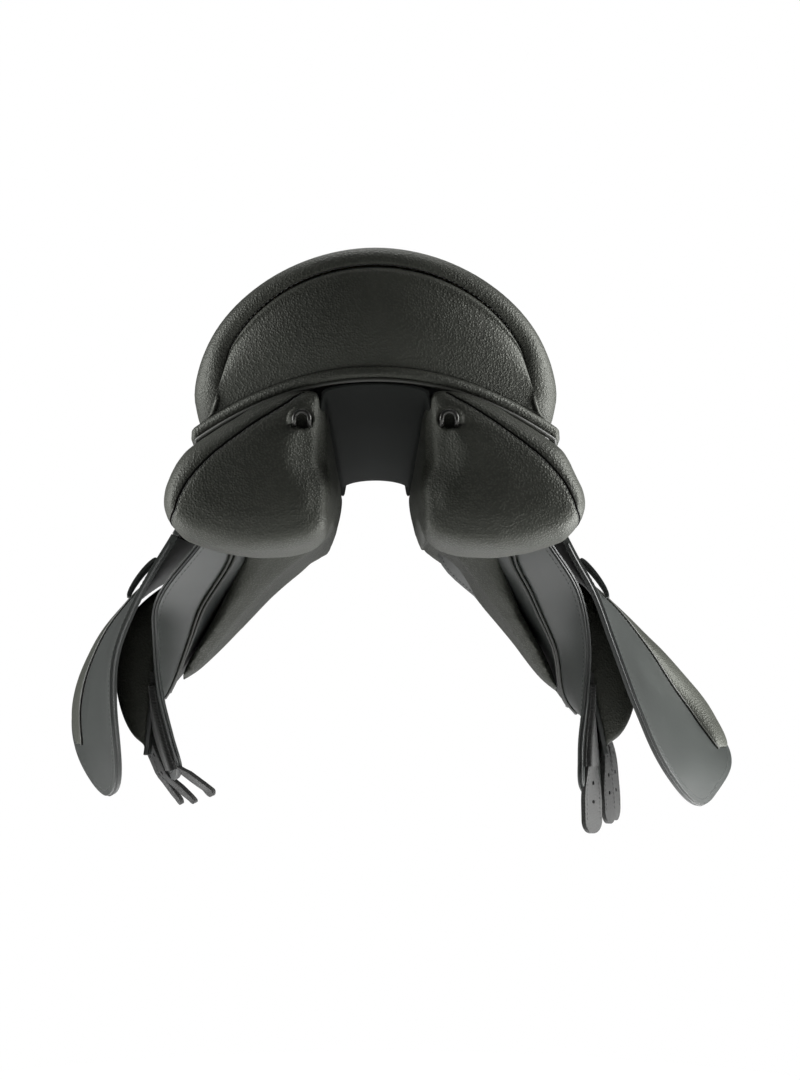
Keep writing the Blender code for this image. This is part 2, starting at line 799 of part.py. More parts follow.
def wing_ring(side, y):
    """Section of a panel from the waist to the front, whose outer face lies along the sweat flap."""
    inner = through(CHANNEL, y)
    top = through(PANEL_TOP, y)
    low = through(WING_LOW, y)
    fall = WING_SLOPE[side]
    flare = max(0.0, y - 0.110) * 0.13

    def outer(z):
        return beside(side, y, z) - PANEL_CLEARANCE

    def under(z):
        start = 0.002 + 0.10 * max(y - 0.130, 0.0)
        return min(GULLET_WIDTH / 2 + (start - z) / fall, outer(z) - WING_EDGE)

    shoulder = max(outer(0.040) - 0.006, inner + 0.014)
    return [
        (inner + 0.001 + flare, 0.004 - flare),
        (inner + 0.4 * flare, 0.026),
        (inner, top - 0.007),
        (inner + 0.006, top - 0.001),
        (0.5 * (inner + shoulder), top),
        (shoulder, 0.044),
        (outer(0.010), 0.010),
        (outer(0.30 * low), 0.30 * low),
        (outer(0.72 * low), 0.72 * low),
        (0.5 * (outer(low) + under(low)), low),
        (under(0.62 * low), 0.62 * low),
        (under(0.26 * low), 0.26 * low),
    ]


def panel_rings(side):
    """Rings of points along a whole panel, smooth both ways and held clear of the sweat flap."""
    def held(point):
        """The point kept outside the channel and inside the sweat flap, flap top and rim roll."""
        lined = point.z > GULLET_HEIGHT - 2 * LINING_RISE
        point.x = max(point.x, through(CHANNEL, point.y) if lined else GULLET_WIDTH / 2)
        if point.y > FLAP_BACK - 0.016 and point.z < SWEAT_TOP + 0.025:
            point.x = min(point.x, beside(side, point.y, point.z) - PANEL_CLEARANCE)
        if point.y > -0.178:
            rim = rim_at(point.y)
            ceiling = rim.z - ROLL_RADIUS - 0.0025
            if point.y > FLAP_BACK - 0.022:
                ceiling -= SHOULDER_DROP + 0.9 * max(point.x - rim.x, 0.0)
            if point.x > rim.x - 0.026:
                point.z = min(point.z, ceiling)
        return point

    stations = [[Vector((x, y, z)) for x, z in rear_ring(y)] for y in REAR_STATIONS]
    stations += [[Vector((x, y, z)) for x, z in wing_ring(side, y)] for y in WING_STATIONS]
    lines = [spline_points([ring[k] for ring in stations], 2) for k in range(len(stations[0]))]
    rings = []
    for station in zip(*lines):
        rings.append([held(point) for point in spline_points(station, 2, closed=True)])
    for end, other, reach in ((0, 1, -0.005), (-1, -2, 0.008)):
        middle = sum(rings[end], Vector()) / len(rings[end])
        cap = [point.lerp(middle, 0.30) + Vector((0, reach, 0)) for point in rings[end]]
        if end == 0:
            rings.insert(0, cap)
        else:
            rings.append(cap)
    for ring in rings:
        for point in ring:
            point.x *= SIGN[side]
    return rings


def rear_dee_points(side):
    """The staple of a rear dee: two legs and the arch between them, standing behind the panel."""
    middle = SIGN[side] * REAR_DEE_PLACE
    half = (REAR_DEE_WIDTH - DEE_WIRE) / 2
    back = -PANEL_BACK - 0.004
    foot = REAR_DEE_HEIGHT - REAR_DEE_RISE / 2
    points = [
        Vector((middle - half, back + REAR_DEE_DEPTH, foot)),
        Vector((middle - half, back + 0.003, foot)),
        Vector((middle - half, back, foot + 0.003)),
    ]
    rise = REAR_DEE_RISE - DEE_WIRE / 2 - 0.003 - half
    for k in range(7):
        turn = math.pi - math.pi * k / 6
        points.append(Vector((
            middle + half * math.cos(turn),
            back,
            foot + 0.003 + max(rise, 0.001) + half * math.sin(turn),
        )))
    points += [
        Vector((middle + half, back, foot + 0.003)),
        Vector((middle + half, back + 0.003, foot)),
        Vector((middle + half, back + REAR_DEE_DEPTH, foot)),
    ]
    return points


def seat_cutter():
    """The room that the seat's layers take, which the panels' tops are cut to."""
    mesh = grid_mesh("seat_room", SEAT_GRID[: SEAT_ROWS + 1])
    mesh.flip_normals()
    room = add("seat_room", mesh, None, cutter=True)
    mirror(room)
    solidify(room, -0.002, SEAT_DEPTH)
    return room


def panels():
    """The two padded panels, cut to the seat above them and dimpled round the rear dees."""
    room = seat_cutter()
    for side in SIGN:
        mesh = grid_mesh(f"{side}_panel", panel_rings(side), closed=True, caps=True)
        panel = add(f"{side}_panel", mesh, GRAINED)
        boolean(panel, "DIFFERENCE", room)
        points = rear_dee_points(side)
        dee = tube(f"{side}_rear_dee", points, DEE_WIRE / 2, STEEL, resolution=1)
        legs = tube(f"{side}_dee_room", points, DEE_WIRE / 2 + GAP, None, resolution=1)
        legs = as_mesh(legs, cutter=True)
        boolean(panel, "DIFFERENCE", legs)


def gullet():
    """The lining that arches over the channel, between the panels' walls."""
    rows = []
    count = 7
    for y in np.linspace(-0.232, PANEL_FRONT - 0.004, 11):
        half = through(CHANNEL, y) - 3 * GAP
        crown = through(CEILING, y)
        row = []
        for k in range(count):
            turn = math.pi * k / (count - 1)
            across = -half * math.cos(turn)
            row.append(Vector((across, y, crown - LINING_RISE * (1 - math.sin(turn)))))
        rows.append(row)
    mesh = grid_mesh("gullet_lining", rows)
    lining = add("gullet_lining", mesh, LINING)
    solidify(lining, -LINING_THICKNESS / 2, LINING_THICKNESS / 2)


# Hanging sheets

def sheet_rows(drape, top, tip, outline, rows, shares, out=0.0):
    """Points over a hanging sheet, each row at one height between its back and front edges."""
    backs = [(share, back) for share, back, _ in outline]
    fronts = [(share, front) for share, _, front in outline]
    made = []
    for row in range(rows + 1):
        depth = row / rows
        z = top + (tip - top) * depth
        back = through(backs, depth)
        front = through(fronts, depth)
        made.append([drape.point(back + (front - back) * share, z, out) for share in shares])
    return made


def outward(mesh, sign):
    """Turns an open sheet's faces away from the middle of the saddle."""
    mesh.update()
    lean = sum(polygon.normal.x * polygon.area for polygon in mesh.polygons)
    if lean * sign < 0:
        mesh.flip_normals()


def sheet(name, rows, sign, inner, outer, look):
    """A wall over rows of points, from inner to outer, both measured outwards from the points."""
    mesh = grid_mesh(name, rows)
    outward(mesh, sign)
    obj = add(name, mesh, look)
    solidify(obj, -outer, -inner)
    return obj


def rim_at(y):
    """The rim's middle line beside the seat, at this y."""
    beside = [knot for knot in RIM_KNOTS[CANTLE_COLUMNS - 1 :]]
    x = through([(knot[1], knot[0]) for knot in beside], y)
    z = through([(knot[1], knot[2]) for knot in beside], y)
    return Vector((x, y, z))


class Shoulder:
    """The horse's side of the flap's top, between the rim and the flap's hinge."""

    def __init__(self, side):
        self.sign = SIGN[side]
        self.flap = FLAP[side]

    def face(self, y, share):
        rim = rim_at(y)
        top = Vector((rim.x, y, rim.z - ROLL_RADIUS - SHOULDER_DROP))
        slot = GAP + FOLD_SLOT * min(max((y - FLAP_BACK) / (FLAP_TOP_FRONT - FLAP_BACK), 0.0), 1.0)
        low = Vector((self.flap.reach(y, FLAP_HINGE_HEIGHT), y, FLAP_HINGE_HEIGHT + slot))
        across = (low - top).cross(Vector((0, -1, 0))).normalized()
        across = across if across.x > 0 else -across
        return top.lerp(low, share) + across * SHOULDER_BOW * math.sin(math.pi * share)

    def normal(self, y, share):
        step = 0.003
        along = self.face(y + step, share) - self.face(y - step, share)
        down = self.face(y, share + step) - self.face(y, share - step)
        made = along.cross(down).normalized()
        return made if made.x > 0 else -made

    def point(self, y, share, out=0.0):
        made = self.face(y, share) + self.normal(y, share) * out
        made.x *= self.sign
        return made


SHOULDER = {side: Shoulder(side) for side in SIGN}
FLAP_SHARES = (0.0, 0.14, 0.30, 0.46, 0.61, 0.76, 0.88, 1.0)
FLAP_ROWS = 16


def sweat_flaps():
    for side, drape in SWEAT.items():
        shares = [k / 6 for k in range(7)]
        rows = sheet_rows(drape, SWEAT_TOP, SWEAT_TIP[side], SWEAT_OUTLINE, 16, shares)
        _, back, front = SWEAT_OUTLINE[0]
        back += SEWN_SHORT
        sewn = [drape.point(back + (front - back) * k, SWEAT_TOP + 0.004, -SEWN_IN) for k in shares]
        rows.insert(0, sewn)
        sheet(f"{side}_sweat_flap", rows, drape.sign, 0.0, SWEAT_THICKNESS, SMOOTH)


def flap_hinge(side):
    """Place and direction of a flap's hinge: on its outer face, turning outwards and up."""
    drape = FLAP[side]
    place = drape.point(0.045, FLAP_HINGE_HEIGHT, FLAP_THICKNESS)
    line = Vector((drape.sign * FLAP_HINGE_SLOPE, 1.0, 0.0)).normalized()
    return place, -line * drape.sign


def flaps():
    """The flaps: a fixed top under each skirt, and below it the part that lifts, with its knee pad."""
    for side, drape in FLAP.items():
        top = SHOULDER[side]
        ys = np.linspace(FLAP_BACK, FLAP_TOP_FRONT, 9)
        rows = [[top.point(y, share) for y in ys] for share in np.linspace(0, 1, 7)]
        sheet(f"{side}_flap_top", rows, drape.sign, 0.0, FLAP_THICKNESS, SMOOTH)
        rows = sheet_rows(
            drape, FLAP_HINGE_HEIGHT, FLAP_TIP[side], FLAP_OUTLINE, FLAP_ROWS, FLAP_SHARES
        )
        flap = sheet(f"{side}_flap", rows, drape.sign, 0.0, FLAP_THICKNESS, SMOOTH)
        pad = knee_pad(side)
        keeper = stirrup_keeper(side)
        place, axis = flap_hinge(side)
        hinge = pivot(f"{side}_flap_hinge", place, axis)
        for piece in (flap, pad, keeper):
            carry(piece, hinge)


def knee_pad(side):
    """The crowned pad along the front of a flap's outer face."""
    drape = FLAP[side]
    foot = FLAP_THICKNESS + 2 * GAP
    fronts = [(share, front) for share, _, front in FLAP_OUTLINE]
    rings = []
    for k in range(KNEE_PAD_ROWS + 1):
        along = k / KNEE_PAD_ROWS
        depth = KNEE_PAD_TOP + (KNEE_PAD_LOW - KNEE_PAD_TOP) * along
        z = FLAP_HINGE_HEIGHT + (FLAP_TIP[side] - FLAP_HINGE_HEIGHT) * depth
        front = through(fronts, depth) - KNEE_PAD_INSET
        swell = max(math.sin(math.pi * along), 0.0) ** 0.4
        width = KNEE_PAD_WIDTH * (0.55 + 0.45 * swell)
        ys = [front - width * (1 - j / 4) for j in range(5)]
        ring = [drape.point(y, z, foot) for y in ys]
        for j in (4, 3, 2, 1, 0):
            crown = KNEE_PAD_THICKNESS * swell * math.sin(math.pi * j / 4) ** 0.6
            ring.append(drape.point(ys[j], z, foot + KNEE_PAD_EDGE + crown))
        rings.append(ring)
    return add(f"{side}_knee_pad", grid_mesh(f"{side}_knee_pad", rings, closed=True, caps=True), SMOOTH)


def stirrup_keeper(side):
    """A strap loop on the flap's face that holds the end of a stirrup leather."""
    drape = FLAP[side]
    ys = np.linspace(KEEPER_PLACE - KEEPER_WIDTH / 2, KEEPER_PLACE + KEEPER_WIDTH / 2, 3)
    foot = FLAP_THICKNESS + 2 * GAP
    rows = []
    for k in range(9):
        turn = math.pi * k / 8
        z = KEEPER_TOP - KEEPER_HEIGHT / 2 * (1 - math.cos(turn))
        out = foot + (KEEPER_DEPTH - KEEPER_THICKNESS) * math.sin(turn) ** 0.6
        rows.append([drape.point(y, z, out) for y in ys])
    return sheet(f"{side}_stirrup_keeper", rows, drape.sign, 0.0, KEEPER_THICKNESS, SMOOTH)


def skirt_lines(side):
    """The straight top edge of a skirt's inner face, and its hem, as functions of y."""
    top = SHOULDER[side]
    ends = []
    for y in (SKIRT_BACK, SKIRT_FRONT):
        rim = rim_at(y)
        ends.append(Vector((rim.x, y, rim.z - ROLL_RADIUS - 0.003)))
    clear = 1.16 * ROLL_RADIUS + 2 * GAP
    push = 0.0
    for y in np.linspace(SKIRT_BACK, SKIRT_FRONT, 12):
        rim = rim_at(y)
        line = ends[0].lerp(ends[1], (y - SKIRT_BACK) / (SKIRT_FRONT - SKIRT_BACK))
        beside = math.sqrt(max(clear**2 - (line.z - rim.z) ** 2, 0.0))
        push = max(push, rim.x + beside - line.x)

    def upper(y):
        line = ends[0].lerp(ends[1], (y - SKIRT_BACK) / (SKIRT_FRONT - SKIRT_BACK))
        return line + Vector((push, 0, 0))

    def hem(y):
        made = top.point(y, SKIRT_HEM, FLAP_THICKNESS + 2 * GAP)
        made.x *= top.sign
        return made

    return upper, hem


def plateau(value, middle, flat, fall):
    """1 near the middle, easing to 0 beyond the flat stretch."""
    far = min(max((abs(value - middle) - flat) / fall, 0.0), 1.0)
    return 1.0 - far * far * (3 - 2 * far)


def skirts():
    """The small flaps over the stirrup bars, with the swelling that the bar and its leather need."""
    rise = 2 * GAP + BAR_PLATE_THICKNESS + BAR_LEATHER_SPACE + BAR_DIAMETER + 0.0015
    for side in SIGN:
        sign = SIGN[side]
        top = SHOULDER[side]
        upper, hem = skirt_lines(side)
        rows = []
        for share in np.linspace(0, 1, 9):
            row = []
            for k in range(11):
                across = k / 10
                trim = 0.024 * max(share - 0.45, 0.0) ** 2 / 0.3
                back = SKIRT_BACK + trim
                front = SKIRT_FRONT - trim
                y = back + (front - back) * across
                down = share * SKIRT_HEM
                high = upper(y)
                low = hem(y)
                point = high.lerp(low, share)
                normal = top.normal(y, down)
                over = plateau(y, 0.5 * (BAR_BACK + BAR_FRONT), 0.042, 0.026)
                over *= plateau(down, BAR_PLACE, 0.17, 0.19)
                bow = SHOULDER_BOW * math.sin(math.pi * down)
                point += normal * (max(bow - SHOULDER_BOW * math.sin(math.pi * SKIRT_HEM) * share, 0) + rise * over)
                point.x *= sign
                row.append(point)
            rows.append(row)
        skirt = sheet(f"{side}_skirt", rows, sign, 0.0, SKIRT_THICKNESS, SMOOTH)
        place, axis = skirt_hinge(side)
        carry(skirt, pivot(f"{side}_skirt_hinge", place, axis))


def skirt_hinge(side):
    """Place and direction of a skirt's sewn edge: on its outer face, turning outwards and up."""
    sign = SIGN[side]
    upper, _ = skirt_lines(side)
    middle = 0.5 * (SKIRT_BACK + SKIRT_FRONT)
    normal = SHOULDER[side].normal(middle, 0.0)
    place = upper(middle) + normal * SKIRT_THICKNESS
    line = (upper(SKIRT_FRONT) - upper(SKIRT_BACK)).normalized()
    return Vector((sign * place.x, place.y, place.z)), Vector((sign * line.x, line.y, line.z)) * -sign


# Stirrup bars

def bar_levels():
    """Heights over the flap top's inner face: under the plate, its top, and the bar's middle."""
    under = FLAP_THICKNESS + 1.5 * GAP
    top = under + BAR_PLATE_THICKNESS
    return under, top, top + BAR_LEATHER_SPACE + BAR_DIAMETER / 2


def stirrup_bars():
    under, top, bar = bar_levels()
    for side in SIGN:
        face = SHOULDER[side]
        shares = np.linspace(BAR_PLACE - BAR_PLATE_WIDTH / 2, BAR_PLACE + BAR_PLATE_WIDTH / 2, 4)
        ys = np.linspace(BAR_BACK + 0.001, BAR_FRONT + 0.010, 7)
        rows = [[face.point(y, share) for y in ys] for share in shares]
        plate = sheet(f"{side}_stirrup_bar", rows, face.sign, under, top, STEEL)
        bend = BAR_DIAMETER
        route = [(BAR_FRONT, top - 0.0015)]
        for k in range(5):
            turn = math.pi / 2 * k / 4
            route.append((
                BAR_FRONT - bend * (1 - math.cos(turn)),
                bar - bend * (1 - math.sin(turn)),
            ))
        route += [(0.5 * (BAR_FRONT - bend + BAR_BACK), bar), (BAR_BACK, bar)]
        points = [face.point(y, BAR_PLACE, out) for y, out in route]
        rod = as_mesh(tube(f"{side}_bar_rod", points, BAR_DIAMETER / 2, STEEL, 3), cutter=True)
        boolean(plate, "UNION", rod)


def bar_catch_hinge(side):
    """Place, direction and outward normal of the pin of a bar's catch."""
    face = SHOULDER[side]
    under, _, _ = bar_levels()
    y = BAR_BACK - 0.0026
    place = face.point(y, BAR_PLACE, under + 0.0026)
    down = (face.point(y, BAR_PLACE + 0.05) - face.point(y, BAR_PLACE - 0.05)).normalized()
    away = (face.point(y, BAR_PLACE, 0.01) - face.point(y, BAR_PLACE)).normalized()
    return place, down, away


def bar_catches():
    """The thumb pieces behind the bars. Each stands up against the bar's end and folds back."""
    _, _, bar = bar_levels()
    for side in SIGN:
        place, down, away = bar_catch_hinge(side)
        back = down.cross(away).normalized()
        height = bar - bar_levels()[0] + BAR_DIAMETER / 2 - 0.0012
        bm = bmesh.new()
        bmesh.ops.create_cube(bm, size=1.0)
        mesh = bpy.data.meshes.new(f"{side}_bar_catch")
        bmesh.ops.scale(bm, vec=(CATCH_THICKNESS, 0.012, height), verts=bm.verts)
        bmesh.ops.translate(bm, vec=(0, 0, height / 2 - 0.0018), verts=bm.verts)
        edges = [edge for edge in bm.edges if abs(edge.verts[0].co.z - edge.verts[1].co.z) < 1e-6
                 and edge.verts[0].co.z > 0]
        bmesh.ops.bevel(bm, geom=edges, offset=0.001, segments=2, profile=0.5, affect="EDGES")
        bm.to_mesh(mesh)
        bm.free()
        smooth_shade(mesh)
        catch = add(f"{side}_bar_catch", mesh, STEEL)
        frame = np.array([back, down, away]).T
        matrix = Vector(place)
        turn = bpy.data.objects.new(f"{side}_catch_pin", None)
        SADDLE.objects.link(turn)
        turn.empty_display_size = 0.01
        turn.location = matrix
        turn.rotation_euler = Matrix(frame.tolist()).to_euler()
        catch.parent = turn


# Billets

def billet(name, side, place, drape, top, low, look):
    """A strap of the drape's shape, with a rounded end."""
    stand = SWEAT_THICKNESS + BILLET_GAP
    levels = list(np.linspace(top, low + BILLET_WIDTH / 2, 14))
    half = BILLET_WIDTH / 2
    rows = [[drape.point(place + k * half, z, stand) for k in (-1, 0, 1)] for z in levels]
    for k in range(1, 4):
        turn = math.pi / 2 * k / 4
        z = low + half * (1 - math.sin(turn))
        width = half * math.cos(turn)
        rows.append([drape.point(place + j * width, z, stand) for j in (-1, 0, 1)])
    return sheet(name, rows, SIGN[side], 0.0, BILLET_THICKNESS, look)


def billets():
    for side, drape in SWEAT.items():
        low = SWEAT_TIP[side] - BILLET_REACH
        for name, place in (("front", FRONT_BILLET_PLACE), ("middle", MIDDLE_BILLET_PLACE)):
            strap = billet(f"{side}_{name}_billet", side, place, drape, BILLET_TOP, low, WEB)
            point, axis = billet_hinge(side, place)
            carry(strap, pivot(f"{side}_{name}_billet_hinge", point, axis))
        billet(f"{side}_rear_billet", side, REAR_BILLET_PLACE, drape, SLEEVE_TOP + 0.012, low, WEB)
        sleeve(side, drape)


def billet_hinge(side, place):
    """Place and direction of a billet's sewn top, turning outwards."""
    out = SWEAT_THICKNESS + BILLET_GAP + BILLET_THICKNESS / 2
    return SWEAT[side].point(place, BILLET_TOP, out), Vector((0, -SIGN[side], 0))


def sleeve(side, drape):
    """The webbing sleeve sewn to the sweat flap over the rear billet."""
    half = BILLET_WIDTH / 2
    foot = SWEAT_THICKNESS + GAP
    over = SWEAT_THICKNESS + BILLET_GAP + BILLET_THICKNESS + 1.5 * GAP
    profile = (
        (-half - 0.0045, foot),
        (-half - 0.0024, foot),
        (-half - 0.0008, over),
        (0.0, over),
        (half + 0.0008, over),
        (half + 0.0024, foot),
        (half + 0.0045, foot),
    )
    rows = []
    for z in np.linspace(SLEEVE_TOP, SLEEVE_TOP - SLEEVE_LENGTH, 6):
        rows.append([drape.point(REAR_BILLET_PLACE + y, z, out) for y, out in profile])
    sheet(f"{side}_billet_sleeve", rows, drape.sign, 0.0, SLEEVE_THICKNESS, WEB)


# Blocks

def block(name, side, place, width, top, low, depth, lean, turn_height):
    """A padded pod on a flat flange, along the sweat flap and, below a height, straight on."""
    drape = SWEAT[side]
    stand = SWEAT_THICKNESS + 2 * GAP
    flange = 0.005
    rings = []
    count = 10
    for k in range(count + 1):
        share = k / count
        z = top + (low - top) * share
        along = max(z, turn_height)
        spots = [place + j * width / 2 for j in (-1, 0, 1)]
        base = max(drape.reach(y, along) + stand / drape.normal(y, along).x for y in spots)
        base += lean * (turn_height - z) if z < turn_height else 0.0
        swell = math.sin(math.pi * min(share * 1.06, 1.0)) ** 0.55
        swell = max(swell, 0.0) * depth
        narrow = 0.55 + 0.45 * math.sin(math.pi * min(max(share, 0.04), 0.96)) ** 0.5
        half = width / 2 * narrow
        ring = [(-half, 0.0), (-half, flange)]
        for j in range(6):
            angle = math.pi - math.pi * j / 5
            ring.append((0.86 * half * math.cos(angle), flange + 0.0006 + swell * math.sin(angle) ** 0.8))
        ring += [(half, flange), (half, 0.0), (0.0, 0.0)]
        points = []
        for y, out in ring:
            room = FLAP[side].reach(place + y, z) - FLAP_CLEARANCE
            points.append(Vector((drape.sign * min(base + out, room), place + y, z)))
        rings.append(points)
    mesh = grid_mesh(name, rings, closed=True, caps=True)
    return add(name, mesh, GRAINED)


def blocks():
    for side, lean in (("left", 0.115), ("right", 0.22)):
        block(
            f"{side}_thigh_block", side, THIGH_BLOCK_PLACE, THIGH_BLOCK_WIDTH,
            THIGH_BLOCK_TOP, THIGH_BLOCK_LOW, THIGH_BLOCK_DEPTH[side], lean, THIGH_BLOCK_TURN,
        )
        block(
            f"{side}_knee_block", side, KNEE_BLOCK_PLACE, KNEE_BLOCK_WIDTH,
            KNEE_BLOCK_TOP, KNEE_BLOCK_LOW, KNEE_BLOCK_DEPTH, 0.0, KNEE_BLOCK_LOW,
        )


# Rings and studs

def front_dee_frame(side):
    """Eye of a front dee's chape: its place, and the directions out of and up the pommel's facing."""
    rows = pommel_rows()
    column = 1
    low = rows[-1][column]
    high = rows[-2][column]
    beside = rows[-1][column + 1]
    up = (high - low).normalized()
    out = up.cross(beside - low).normalized()
    out = out if out.y > 0 else -out
    eye = DEE_WIRE / 2 + PIN_CLEARANCE + CHAPE_WALL
    place = low.lerp(high, 0.3) + out * (FACING_THICKNESS + eye + 3 * GAP)
    sign = SIGN[side]
    return (
        Vector((sign * place.x, place.y, place.z)),
        Vector((sign * out.x, out.y, out.z)),
        Vector((sign * up.x, up.y, up.z)),
    )


def ring_outline(radius, count, start, stop):
    return [
        (radius * math.cos(start + (stop - start) * k / count),
         radius * math.sin(start + (stop - start) * k / count))
        for k in range(count + 1)
    ]


def front_dees():
    """The dees at the pommel, each in the eye of a small leather chape."""
    hole = DEE_WIRE / 2 + PIN_CLEARANCE
    eye = hole + CHAPE_WALL
    for side in SIGN:
        place, out, up = front_dee_frame(side)
        curve = bpy.data.curves.new(f"{side}_front_chape", "CURVE")
        curve.dimensions = "2D"
        curve.fill_mode = "BOTH"
        curve.extrude = CHAPE_WIDTH / 2
        outline = ring_outline(eye, 12, -math.pi, 0.0)
        outline += [(eye * 0.1, eye * 1.9), (-eye * 0.1, CHAPE_LENGTH), (-eye, CHAPE_LENGTH)]
        for points in (outline, ring_outline(hole, 16, 0.0, 2 * math.pi)[:-1]):
            spline = curve.splines.new("POLY")
            spline.points.add(len(points) - 1)
            for knot, (x, y) in zip(spline.points, points):
                knot.co = (x, y, 0.0, 1.0)
            spline.use_cyclic_u = True
        chape = bpy.data.objects.new(f"{side}_front_chape", curve)
        SADDLE.objects.link(chape)
        curve.materials.append(SMOOTH)
        across = out.cross(up).normalized()
        frame = Matrix((out, up, across)).transposed()
        chape.matrix_world = Matrix.Translation(place) @ frame.to_4x4()
        half = (FRONT_DEE_WIDTH - DEE_WIRE) / 2
        drop = FRONT_DEE_RISE - DEE_WIRE / 2
        points = [Vector((half * x, 0, 0)) for x in (-0.5, 0.0, 0.5)]
        for k in range(11):
            turn = math.pi * k / 10
            points.append(Vector((half * math.cos(turn), 0, -0.002 - (drop - 0.002) * math.sin(turn) ** 0.8)))
        dee = tube(f"{side}_front_dee", points, DEE_WIRE / 2, STEEL, 2, cyclic=True)
        bar = across if across.x > 0 else -across
        hinge = pivot(f"{side}_front_dee_pin", place, bar)
        ahead = Vector((0, 0, 1)).cross(bar).normalized()
        dee.matrix_world = Matrix.Translation(place) @ Matrix((
            bar, ahead, bar.cross(ahead),
        )).transposed().to_4x4()
        carry(dee, hinge)


def saddle_nails():
    """The domed studs beside the pommel."""
    for side, sign in SIGN.items():
        rim, out, up = RIMS[-5]
        normal = (out * math.cos(0.5) + up * math.sin(0.5)).normalized()
        place = rim + normal * (ROLL_RADIUS + GAP)
        profile = [(0.0, NAIL_RISE)]
        for k in range(1, 4):
            turn = math.pi / 2 * k / 3
            profile.append((NAIL_DIAMETER / 2 * math.sin(turn), 0.001 + (NAIL_RISE - 0.001) * math.cos(turn)))
        profile += [(NAIL_DIAMETER / 2, 0.0), (0.0, 0.0)]
        mesh = bpy.data.meshes.new(f"{side}_saddle_nail")
        points = [(x, 0.0, z) for x, z in profile]
        mesh.from_pydata(points, [(k, k + 1) for k in range(len(points) - 1)], [])
        nail = add(f"{side}_saddle_nail", mesh, STEEL)
        screw = nail.modifiers.new("Screw", "SCREW")
        screw.steps = 12
        screw.render_steps = 12
        screw.use_merge_vertices = True
        screw.merge_threshold = 0.0001
        screw.use_smooth_shade = True
        normal.x *= sign
        place.x *= sign
        nail.location = place
        nail.rotation_euler = normal.to_track_quat("Z", "Y").to_euler()


seat()
cantle()
pommel()
panels()
gullet()
sweat_flaps()
flaps()
skirts()
stirrup_bars()
bar_catches()
billets()
blocks()
front_dees()
saddle_nails()
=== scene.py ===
"""Dresses the all-purpose saddle: leather, padding, sewing, webbing and metal round its frame.

All sizes are in metres. +Y points to the horse's head, +Z up and +X to the rider's right.
"""

import json
import math

import bmesh
import bpy
import numpy as np
from bpy.props import FloatProperty, FloatVectorProperty, PointerProperty
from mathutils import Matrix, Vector
from mathutils.bvhtree import BVHTree
from mathutils.kdtree import KDTree

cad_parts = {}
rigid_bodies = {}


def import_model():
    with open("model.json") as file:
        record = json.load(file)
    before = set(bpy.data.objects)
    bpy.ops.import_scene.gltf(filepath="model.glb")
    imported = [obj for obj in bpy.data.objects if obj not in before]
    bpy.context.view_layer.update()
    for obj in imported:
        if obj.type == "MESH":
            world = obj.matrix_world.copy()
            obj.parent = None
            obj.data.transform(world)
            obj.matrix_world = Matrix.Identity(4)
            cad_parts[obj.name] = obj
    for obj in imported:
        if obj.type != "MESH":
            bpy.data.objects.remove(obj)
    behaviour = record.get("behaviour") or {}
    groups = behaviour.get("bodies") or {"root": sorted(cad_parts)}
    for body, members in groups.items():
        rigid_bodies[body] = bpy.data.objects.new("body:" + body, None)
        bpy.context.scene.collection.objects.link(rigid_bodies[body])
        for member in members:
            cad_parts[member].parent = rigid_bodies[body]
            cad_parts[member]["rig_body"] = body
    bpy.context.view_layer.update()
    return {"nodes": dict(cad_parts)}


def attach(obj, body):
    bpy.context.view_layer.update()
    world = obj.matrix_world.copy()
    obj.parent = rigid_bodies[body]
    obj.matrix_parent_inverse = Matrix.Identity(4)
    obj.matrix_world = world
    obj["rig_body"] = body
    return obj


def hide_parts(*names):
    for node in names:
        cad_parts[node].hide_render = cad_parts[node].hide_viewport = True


bl_info = {
    "name": "All-Purpose Saddle",
    "version": (1, 0, 0),
    "blender": (4, 5, 0),
    "location": "3D View > Sidebar > Saddle",
    "description": "Covers, pads and sews the saddle round its frame",
    "category": "Add Mesh",
}

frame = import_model()
NODES = frame["nodes"]
SIGN = {"left": -1.0, "right": 1.0}
BODY = "saddle_body"

# Seat
SEAT_BACK = 0.235
SEAT_FRONT = 0.215
CANTLE_WIDTH = 0.322
CANTLE_HEIGHT = 0.226
CANTLE_SIDE_HEIGHT = 0.100
CANTLE_SWEEP = 0.044
CANTLE_SQUARENESS = 1.022
CANTLE_STEPS = 8
WAIST_WIDTH = 0.182
WAIST_HEIGHT = 0.066
HEAD_WIDTH = 0.130
POMMEL_HEIGHT = 0.176
SEAT_LOW = 0.098
SEAT_LOW_PLACE = -0.040
SPINE_BACK = -0.095
SPINE_FRONT = 0.152
CREST_FALL = 0.012
ROLL = 0.013
COVER_WALL = 0.0024
FOLD_SHIFT = (-0.0068, -0.008, 0.0)  # the cover's edge where it is folded over the facing's corner
SEAT_SEAM = 0.80  # share of the way from the middle line to the roll
SEAT_LAYERS = {
    # node: depth of its top, of its underside, first and last share across, last column, slot, finish
    "seat_foam": (0.0034, 0.0184, 0.0, 1.0, 19.0, "foam", "foam"),
    "seat_webbing": (0.0193, 0.0213, 0.0, 0.667, 16.0, "webbing", "tree_webbing"),
    "tree_frame": (0.0222, 0.0312, 0.333, 0.833, 19.0, "tree", "tree"),
}

# Cantle facing, welt and pommel
WELT_WIDTH = 0.318
WELT_HEIGHT = 0.117
WELT_DROP = 0.046
WELT_PLACE = -0.233
WELT_SWEEP = 0.047
WELT_DIAMETER = 0.009
PIPING_DIAMETER = 0.004
FACING_WALL = 0.002
FACING_CROWN = 0.0055
GULLET_FRONT_HEIGHT = 0.080

